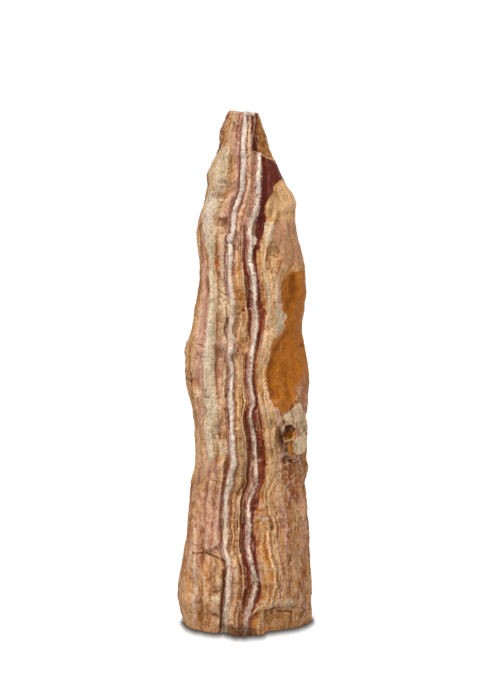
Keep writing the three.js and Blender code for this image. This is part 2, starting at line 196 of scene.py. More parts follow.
class Grit:
    """Smooth noise in space, the same on each run."""

    def __init__(self, seed: int) -> None:
        """Shuffles the noise's slopes.

        Args:
            seed: Which of the possible patterns this is.
        """
        shuffled = np.random.default_rng(seed)
        order = shuffled.permutation(256)
        self.order = np.concatenate([order, order])
        slopes = shuffled.normal(size=(256, 3))
        self.slopes = slopes / np.linalg.norm(slopes, axis=1, keepdims=True)

    def at(self, points: np.ndarray) -> np.ndarray:
        """Reads the noise.

        Args:
            points: One row of three coordinates for each place.

        Returns:
            A number from about -1 to 1 for each place.
        """
        cell = np.floor(points).astype(int)
        inside = points - cell
        cell &= 255
        ease = inside**3 * (inside * (inside * 6 - 15) + 10)
        total = np.zeros(len(points))
        for corner in range(8):
            step = np.array([corner & 1, corner >> 1 & 1, corner >> 2 & 1])
            at = cell + step
            key = self.order[self.order[self.order[at[:, 0] & 255] + (at[:, 1] & 255)] + (at[:, 2] & 255)]
            slope = np.einsum("ij,ij->i", self.slopes[key], inside - step)
            share = np.where(step, ease, 1 - ease)
            total += slope * share[:, 0] * share[:, 1] * share[:, 2]
        return total * 1.5

    def rough(self, points: np.ndarray, octaves: int) -> np.ndarray:
        """Sums the noise at several sizes, each half as large and half as strong as the last."""
        return sum(self.at(points * 2**i + 17.3 * i) / 2**i for i in range(octaves))


@dataclass(frozen=True)
class GrowthLayers:
    """The growth layers, as lines on the stone's front between which each layer lies."""

    left_side: Guide
    khaki_left: Guide
    khaki_right: Guide
    first_white: Guide
    second_white: Guide
    red_right: Guide
    light_line: Guide
    amber_left: Guide
    right_side: Guide
    white_half: float = 6.6
    crevice: float = 6.0
    ochre_split: tuple[float, float] = (0.36, 0.68)
    thinnest: float = 3.4
    sway: float = 15.0
    sway_height: float = 170.0
    widths: tuple[float, ...] = (45, 26, 28, 6, 12, 14, 12, 12, 12, 18, 28, 30, 56)

    def edges(self, heights: np.ndarray, behind: np.ndarray) -> np.ndarray:
        """Finds the lines between the layers.

        Args:
            heights: Heights above the base, in millimetres.
            behind: Whether each place is on the back, where the layers have drifted.

        Returns:
            One row for each height, with the fourteen lines from left to right.
        """
        first = self.first_white.at(heights)
        second = self.second_white.at(heights)
        white_end = first + self.white_half
        between = second - first - 2 * self.white_half
        drift = np.where(behind, self.sway * np.sin(heights / self.sway_height + 1), 0)
        lines = np.stack(
            [
                self.left_side.at(heights) - drift,
                self.khaki_left.at(heights),
                self.khaki_right.at(heights),
                first - self.white_half - self.crevice,
                first - self.white_half,
                white_end,
                white_end + between * self.ochre_split[0],
                white_end + between * self.ochre_split[1],
                second - self.white_half,
                second + self.white_half,
                self.red_right.at(heights),
                self.light_line.at(heights),
                self.amber_left.at(heights),
                self.right_side.at(heights) - drift,
            ],
            axis=1,
        )
        lines += drift[:, None]
        for i in range(LAYER_COUNT - 1, 0, -1):
            lines[:, i] = np.minimum(lines[:, i], lines[:, i + 1] - self.thinnest)
        for i in range(1, LAYER_COUNT):
            lines[:, i] = np.maximum(lines[:, i], lines[:, i - 1] + self.thinnest)
        return lines + CENTRING

    def number(self, places: np.ndarray, strayed: np.ndarray) -> np.ndarray:
        """Finds which layer each place is in, and how far across it.

        Args:
            places: Places on the stone, in millimetres.
            strayed: How far the layers have wandered to the right at each place.

        Returns:
            A number from 0 to 13: its whole part is the layer's, its fraction the share across.
        """
        lines = self.edges(places[:, 2], places[:, 1] > 0)
        across = places[:, 0] - strayed
        number = np.zeros(len(places))
        for i in range(LAYER_COUNT):
            number += np.clip((across - lines[:, i]) / (lines[:, i + 1] - lines[:, i]), 0, 1)
        return number

    def depth_in(self, number: np.ndarray) -> np.ndarray:
        """Turns layer numbers into millimetres of growth, counted from the left side."""
        return np.interp(number, range(LAYER_COUNT + 1), np.concatenate([[0], np.cumsum(self.widths)]))


def from_runs(flat: np.ndarray, starts: np.ndarray, ends: np.ndarray) -> np.ndarray:
    """Measures how far places are from the nearest of some straight runs.

    Args:
        flat: Places across and heights.
        starts: Where each run starts.
        ends: Where each run ends.

    Returns:
        Millimetres to the nearest run for each place.
    """
    nearest = np.full(len(flat), FAR)
    for start, run in zip(starts, ends - starts):
        share = np.clip((flat - start) @ run / (run @ run), 0, 1)
        nearest = np.minimum(nearest, np.linalg.norm(flat - start - share[:, None] * run, axis=1))
    return nearest


@dataclass(frozen=True)
class BareFace:
    """A face that a break laid bare on the front, drawn as an outline of places across and heights."""

    name: str
    outline: Points
    behind: float = 40.0  # no part of the face lies further back than this

    def inside(self, places: np.ndarray) -> np.ndarray:
        """Measures how far inside the face each place is.

        Args:
            places: Places on the stone, in millimetres.

        Returns:
            Millimetres to the outline, below zero outside it.
        """
        across, behind, height = places.T
        starts = np.array(self.outline, float)
        ends = np.roll(starts, -1, axis=0)
        nearest = from_runs(places[:, [0, 2]], starts, ends)
        within = np.zeros(len(places), bool)
        for start, end in zip(starts, ends):
            crosses = (start[1] > height) != (end[1] > height)
            run = end - start
            rise = run[1] if run[1] else 1 / FAR
            within ^= crosses & (across < start[0] + (height - start[1]) / rise * run[0])
        rear = self.behind + 9 * np.sin(height / 17) + 5 * np.sin(height / 6.3 + 1)
        return np.minimum(np.where(within, nearest, -nearest), rear - behind)


@dataclass(frozen=True)
class Stroke:
    """A line drawn on the front: a crack, the edge of a ledge, or a vein."""

    kind: str
    path: Points  # places across and heights, from left to right
    half: float = 1.0
    cut: float = 0.0  # how deep it is cut
    step: float = 0.0  # how far the stone below it lies back
    lip: float = 1.6  # how far beside the line the cut runs out
    fade: float = 26.0  # how far below the line the ledge fades
    end: float = 10.0  # how far from the line's ends the ledge runs out

    def away(self, places: np.ndarray) -> np.ndarray:
        """Measures how far from the line each place is.

        Args:
            places: Places on the stone, in millimetres.

        Returns:
            Millimetres to the line, below zero within its width.
        """
        corners = np.array(self.path, float)
        nearest = from_runs(places[:, [0, 2]], corners[:-1], corners[1:])
        return np.maximum(nearest - self.half, places[:, 1])

    def sunk(self, places: np.ndarray) -> np.ndarray:
        """Measures how far the line and its ledge lie back.

        Args:
            places: Places on the stone, in millimetres.

        Returns:
            Millimetres to sink at each place.
        """
        away = self.away(places)
        deep = self.cut * np.clip(1 - away / self.lip, 0, 1)
        if self.step:
            across, heights = np.array(sorted(self.path), float).T
            below = np.interp(places[:, 0], across, heights) - places[:, 2]
            ends = np.minimum(places[:, 0] - across[0], across[-1] - places[:, 0])
            ends = np.clip(ends / self.end + 0.5, 0, 1)
            lies = np.clip(below / 3 + 0.5, 0, 1) * np.exp(-np.clip(below, 0, None) / self.fade)
            deep = deep + self.step * ends * lies * (places[:, 1] < 0)
        return deep


@dataclass(frozen=True)
class Blocks:
    """The blocks that level cracks break each growth layer into."""

    seed: int
    height: float = 27.0
    depth: float = 46.0
    strip: float = 15.0  # about the widest that a block is across the layers

    def at(
        self, number: np.ndarray, places: np.ndarray, layers: GrowthLayers
    ) -> tuple[np.ndarray, np.ndarray, np.ndarray]:
        """Finds the block that each place is in.

        Args:
            number: The layer's number and the share across it.
            places: Places on the stone, in millimetres.
            layers: The growth layers.

        Returns:
            Four numbers from -1 to 1 drawn for each block, the millimetres to its edge, and the
            millimetres above its middle.
        """
        drawn = np.random.default_rng(self.seed)
        order = drawn.permutation(256)
        off = drawn.uniform(-0.36, 0.36, (256, 2))
        rolls = drawn.uniform(-1, 1, (256, 4))
        strips = np.maximum(np.round(np.array(layers.widths) / self.strip), 1).astype(int)
        first = np.concatenate([[0], np.cumsum(strips)])
        layer = np.clip(number.astype(int), 0, LAYER_COUNT - 1)
        strip = first[layer] + (np.clip(number - layer, 0, 0.999) * strips[layer]).astype(int)
        size = np.array([self.depth, self.height])
        flat = places[:, 1:] / size + np.stack([strip * 0.37, strip * 0.618], axis=1)
        cell = np.floor(flat).astype(int)
        nearest = np.full(len(flat), FAR)
        second = nearest.copy()
        block = np.zeros(len(flat), int)
        above = np.zeros(len(flat))
        for shift in np.ndindex(3, 3):
            at = cell + np.array(shift) - 1
            key = order[(order[(order[at[:, 0] & 255] + at[:, 1]) & 255] + strip) & 255]
            away = (flat - at - 0.5 - off[key]) * size
            far = np.hypot(away[:, 0], away[:, 1])
            closer = far < nearest
            second = np.where(closer, nearest, np.minimum(second, far))
            block = np.where(closer, key, block)
            above = np.where(closer, away[:, 1], above)
            nearest = np.minimum(nearest, far)
        return rolls[block], (second - nearest) / 2, above


Socket = bpy.types.NodeSocket


def _step(operation: str, turned: bool = False) -> "Callable[[Value, Value | float], Value]":
    """Makes an operator that adds one step of arithmetic.

    Args:
        operation: What the step does.
        turned: Whether the other number comes first.

    Returns:
        The operator, which takes a value and the other number.
    """

    def step(this: "Value", other: "Value | float") -> "Value":
        """Works on this and the other."""
        return this.graph.maths(operation, *((other, this) if turned else (this, other)))

    return step


class Value:
    """A number on the surface, with the sums that are written on it."""

    def __init__(self, graph: "Graph", socket: Socket) -> None:
        """Wraps a socket of the finish."""
        self.graph = graph
        self.socket = socket

    __add__, __radd__ = _step("ADD"), _step("ADD", True)
    __sub__, __rsub__ = _step("SUBTRACT"), _step("SUBTRACT", True)
    __mul__, __rmul__ = _step("MULTIPLY"), _step("MULTIPLY", True)
    least, most = _step("MINIMUM"), _step("MAXIMUM")

    def size(self) -> "Value":
        """This without its sign."""
        return self.graph.maths("ABSOLUTE", self)

    def rise(self, low: float, high: float) -> "Value":
        """Eases from 0 to 1.

        Args:
            low: Where it leaves one end.
            high: Where it reaches the other. Below low, the rise runs from 1 down to 0.

        Returns:
            The eased value.
        """
        ends = (low, high, 0.0, 1.0) if low < high else (high, low, 1.0, 0.0)
        sockets = dict(enumerate((self, *ends)))
        made = self.graph.node("ShaderNodeMapRange", sockets, interpolation_type="SMOOTHSTEP")
        return Value(self.graph, made.outputs[0])


class Graph:
    """The nodes of one finish, or of a part of it."""

    def __init__(self, tree: bpy.types.NodeTree) -> None:
        """Starts on an empty tree of nodes.

        Args:
            tree: The tree, whose nodes are cleared.
        """
        self.tree = tree
        self.tree.nodes.clear()

    @cached_property
    def stone_place(self) -> Socket:
        """Each place on the stone."""
        return self.node("ShaderNodeTexCoord").outputs["Object"]

    @cached_property
    def grown_place(self) -> Socket:
        """Each place on the stone, with the millimetres of growth for its place across."""
        return self.node("ShaderNodeAttribute", attribute_name="grown").outputs["Vector"]

    def part(
        self,
        name: str,
        given: "tuple[Value | Socket, ...]",
        build: "Callable[..., tuple[Value | Socket, ...]]",
    ) -> "list[Value | Socket]":
        """Builds a part of the finish as a group.

        Args:
            name: The part's name.
            given: What goes in, numbers as values and colours as sockets.
            build: Builds the part from its graph and what goes in, and returns what comes out.

        Returns:
            What comes out of the part.
        """

        def kind(item: "Value | Socket") -> str:
            """The kind of socket that an item needs."""
            return "NodeSocketFloat" if isinstance(item, Value) else "NodeSocketColor"

        def taken(graph: Graph, like: "Value | Socket", socket: Socket) -> "Value | Socket":
            """A socket as the kind of item that another is."""
            return Value(graph, socket) if isinstance(like, Value) else socket

        group = bpy.data.node_groups.new(name, "ShaderNodeTree")
        inner = Graph(group)
        for i, item in enumerate(given):
            group.interface.new_socket(f"in {i}", in_out="INPUT", socket_type=kind(item))
        entry = inner.node("NodeGroupInput")
        made = build(inner, *(taken(inner, item, entry.outputs[i]) for i, item in enumerate(given)))
        for i, item in enumerate(made):
            group.interface.new_socket(f"out {i}", in_out="OUTPUT", socket_type=kind(item))
        inner.node("NodeGroupOutput", dict(enumerate(made)))
        placed = self.node("ShaderNodeGroup", dict(enumerate(given)), node_tree=group)
        return [taken(self, item, placed.outputs[i]) for i, item in enumerate(made)]

    def node(
        self, kind: str, sockets: "dict[int | str, object] | None" = None, **settings: object
    ) -> bpy.types.Node:
        """Adds a node.

        Args:
            kind: The node's type.
            sockets: A value, or what links in, for each socket by its name or place.
            settings: Its settings, set before its sockets.

        Returns:
            The new node.
        """
        made = self.tree.nodes.new(kind)
        for key, setting in settings.items():
            setattr(made, key, setting)
        for key, given in (sockets or {}).items():
            socket = made.inputs[key]
            if isinstance(given, Value):
                self.tree.links.new(given.socket, socket)
            elif isinstance(given, Socket):
                self.tree.links.new(given, socket)
            elif isinstance(given, Tint):
                socket.default_value = given.colour
            else:
                socket.default_value = given
        return made

    def maths(self, operation: str, *terms: "Value | float") -> Value:
        """Adds one step of arithmetic and returns its result."""
        made = self.node("ShaderNodeMath", dict(enumerate(terms)), operation=operation)
        return Value(self, made.outputs[0])

    def measured(self, name: str) -> Value:
        """Reads one of the numbers that were measured on the stone's skin."""
        return Value(self, self.node("ShaderNodeAttribute", attribute_name=name).outputs["Fac"])

    def grain(
        self,
        size: tuple[float, float, float],
        detail: float = 3.0,
        strength: float = 0.5,
        grown: bool = False,
        bend: float = 0.0,
        turn: float = 0.0,
        apart: float = 0.0,
    ) -> Value:
        """Reads noise.

        Args:
            size: The size of its largest grains in millimetres: across, deep and up.
            detail: How many finer sizes are added.
            strength: How strong each finer size is.
            grown: Whether it follows the growth layers rather than the plain directions.
            bend: How far the grains are bent out of shape, in their own sizes.
            turn: How far the grains lean to the right, in degrees.
            apart: How far off the noise is read, so that two of one size differ.

        Returns:
            A number around 0, mostly from -0.5 to 0.5.
        """
        place = {
            "Vector": self.grown_place if grown else self.stone_place,
            "Location": (apart, apart, apart),
            "Rotation": (0, math.radians(turn), 0),
            "Scale": tuple(s / MM for s in size),
        }
        scaled = self.node("ShaderNodeMapping", place, vector_type="TEXTURE").outputs[0]
        look = {"Vector": scaled, "Scale": 1.0, "Detail": detail, "Roughness": strength, "Distortion": bend}
        return Value(self, self.node("ShaderNodeTexNoise", look).outputs["Fac"]) - 0.5

    def ramp(self, value: Value, stops: Stops) -> Socket:
        """Reads a colour off a ramp.

        Args:
            value: Where to read.
            stops: The ramp's places and tints, from left to right.

        Returns:
            The colour.
        """
        made = self.node("ShaderNodeValToRGB", {0: value})
        elements = made.color_ramp.elements
        while len(elements) < len(stops):
            elements.new(1.0)
        for element, (position, tint) in zip(elements, stops):
            element.position = position
            element.color = tint.colour
        return made.outputs[0]

    def tinted(self, value: Value, listed: str) -> Socket:
        """Reads a colour off a ramp whose stops are given as words."""
        return self.ramp(value, tints(listed))

    def blend(
        self,
        share: "Value | float",
        under: "Socket | Tint",
        over: "Socket | Tint",
        how: str = "MIX",
    ) -> Socket:
        """Lays one colour over another.

        Args:
            share: How much of the upper colour shows, from 0 to 1.
            under: The lower colour.
            over: The upper colour.
            how: The way in which the two are blended.

        Returns:
            The blended colour.
        """
        sockets = {0: share, 6: under, 7: over}
        made = self.node("ShaderNodeMix", sockets, data_type="RGBA", blend_type=how, clamp_factor=True)
        return made.outputs[2]

    def shade(self, colour: Socket, strength: Value) -> Socket:
        """Makes a colour lighter or darker by a factor."""
        made = self.node("ShaderNodeVectorMath", {0: colour, "Scale": strength}, operation="SCALE")
        return made.outputs[0]

    @classmethod
    def of_finish(cls, name: str) -> "tuple[bpy.types.Material, Graph]":
        """Starts a finish.

        Args:
            name: The finish's name.

        Returns:
            Its material and its nodes.
        """
        material = bpy.data.materials.new(name)
        material.use_nodes = True
        return material, cls(material.node_tree)

    def surface(self, sockets: "dict[int | str, object]") -> None:
        """Ends a finish with its surface, given what its sockets take."""
        shader = self.node("ShaderNodeBsdfPrincipled", sockets)
        self.node("ShaderNodeOutputMaterial", {0: shader.outputs[0]})


@dataclass(frozen=True)
class Reach:
    """A layer's stripes from one height up."""

    start: float
    bands: str  # where each stripe starts, as a share of the layer's width, and its tint
    spread: float = 20.0


@dataclass(frozen=True)
class Stratum:
    """One growth layer's colours: its stripes from left to right, for each reach of its height."""

    name: str
    reaches: tuple[Reach, ...]
    edge: float = 0.04  # half the width of the soft edge on its left, as a share of its width
    soft: float = 0.03  # half the width of the soft edge between two of its stripes

    def paint(self, graph: Graph, under: Socket, share: Value, height: Value) -> tuple[Socket]:
        """Paints the layer over those to its left.

        Args:
            graph: The part of the finish to paint in.
            under: The colour of the layers to the left.
            share: How far across the layer a place is, from 0 to 1.
            height: The place's height in millimetres.

        Returns:
            The colour with this layer.
        """
        colour = graph.ramp(share, banded(self.reaches[0].bands, self.soft))
        for reach in self.reaches[1:]:
            above = height.rise(reach.start - reach.spread, reach.start + reach.spread)
            colour = graph.blend(above, colour, graph.ramp(share, banded(reach.bands, self.soft)))
        return (graph.blend(share.rise(-self.edge, self.edge), under, colour),)


LAYERS = GrowthLayers(
    left_side=Guide((
        (0, -146), (27, -154), (60, -159), (95, -159), (127, -154), (175, -144), (222, -139),
        (270, -135), (327, -130), (360, -123), (400, -118), (460, -118), (495, -122), (526, -129),
        (563, -139), (601, -144), (639, -143), (667, -138), (695, -127), (730, -122), (765, -115),
        (800, -110), (847, -108), (917, -112), (947, -110), (970, -105), (1000, -93), (1036, -86),
        (1052, -89), (1068, -86), (1096, -73), (1121, -59), (1137, -64), (1161, -61), (1184, -49),
        (1206, -36),
    )),
    khaki_left=Guide((
        (0, -97), (217, -94), (309, -88), (374, -80), (413, -87), (505, -95), (631, -95), (700, -89),
        (797, -83), (893, -95), (938, -98), (995, -91), (1028, -83), (1073, -76), (1107, -58),
        (1141, -47), (1206, -33),
    )),
    khaki_right=Guide((
        (0, -77), (217, -74), (374, -68), (448, -62), (642, -66), (779, -61), (847, -64), (915, -64),
        (967, -60), (1017, -44), (1051, -38), (1141, -33), (1206, -18),
    )),
    first_white=Guide((
        (0, -44), (40, -44), (70, -40), (101, -36), (136, -37), (158, -34), (180, -41), (200, -46),
        (222, -40), (250, -44), (286, -42), (321, -41), (346, -33), (370, -29), (390, -23), (425, -28),
        (470, -29), (517, -31), (562, -32), (597, -29), (615, -30), (631, -35), (658, -32), (676, -29),
        (697, -36), (722, -28), (756, -29), (795, -34), (820, -37), (854, -35), (878, -33), (902, -37),
        (922, -29), (961, -25), (983, -19), (1005, -11), (1024, -5), (1051, -5), (1091, -3),
        (1125, -3), (1150, -2), (1166, 1), (1206, 5),
    )),
    second_white=Guide((
        (0, 1), (43, 3), (66, 11), (89, 19), (124, 25), (152, 19), (182, 11), (205, 6), (252, 10),
        (284, 9), (304, 12), (325, 18), (346, 27), (367, 26), (413, 24), (448, 21), (482, 15),
        (512, 14), (533, 24), (553, 16), (574, 12), (642, 16), (677, 23), (697, 24), (722, 27),
        (750, 23), (791, 23), (825, 18), (847, 13), (881, 12), (902, 18), (922, 11), (938, 12),
        (961, 20), (983, 28), (1051, 32), (1098, 37), (1206, 27),
    )),
    red_right=Guide((
        (0, 13), (59, 20), (82, 33), (106, 37), (136, 33), (178, 27), (263, 25), (293, 29),
        (333, 38), (367, 49), (402, 48), (494, 37), (585, 25), (631, 27), (665, 35), (704, 40),
        (741, 47), (761, 40), (802, 33), (881, 26), (913, 37), (949, 47), (988, 51), (1028, 54),
        (1206, 31),
    )),
    light_line=Guide((
        (0, 60), (78, 72), (113, 82), (147, 83), (194, 70), (240, 70), (309, 55), (349, 65),
        (379, 73), (448, 64), (544, 50), (581, 43), (608, 44), (638, 56), (677, 60), (734, 60),
        (786, 57), (825, 49), (863, 49), (922, 62), (961, 74), (1028, 70), (1206, 33),
    )),
    amber_left=Guide((
        (0, 107), (147, 102), (286, 91), (333, 84), (379, 88), (425, 95), (482, 88), (517, 77),
        (539, 61), (608, 53), (642, 62), (670, 69), (690, 90), (729, 97), (768, 87), (818, 88),
        (854, 105), (961, 97), (1028, 84), (1098, 52), (1206, 30),
    )),
    right_side=Guide((
        (0, 160), (27, 163), (60, 160), (103, 159), (151, 158), (199, 156), (246, 154), (294, 152),
        (336, 147), (360, 153), (389, 149), (417, 150), (460, 152), (495, 146), (530, 150),
        (573, 155), (606, 152), (636, 147), (667, 141), (695, 136), (737, 142), (800, 152),
        (835, 144), (868, 136), (898, 129), (933, 123), (964, 120), (991, 123), (1015, 114),
        (1031, 101), (1049, 90), (1063, 85), (1091, 72), (1119, 59), (1149, 51), (1179, 42),
        (1206, 29),
    )),
)

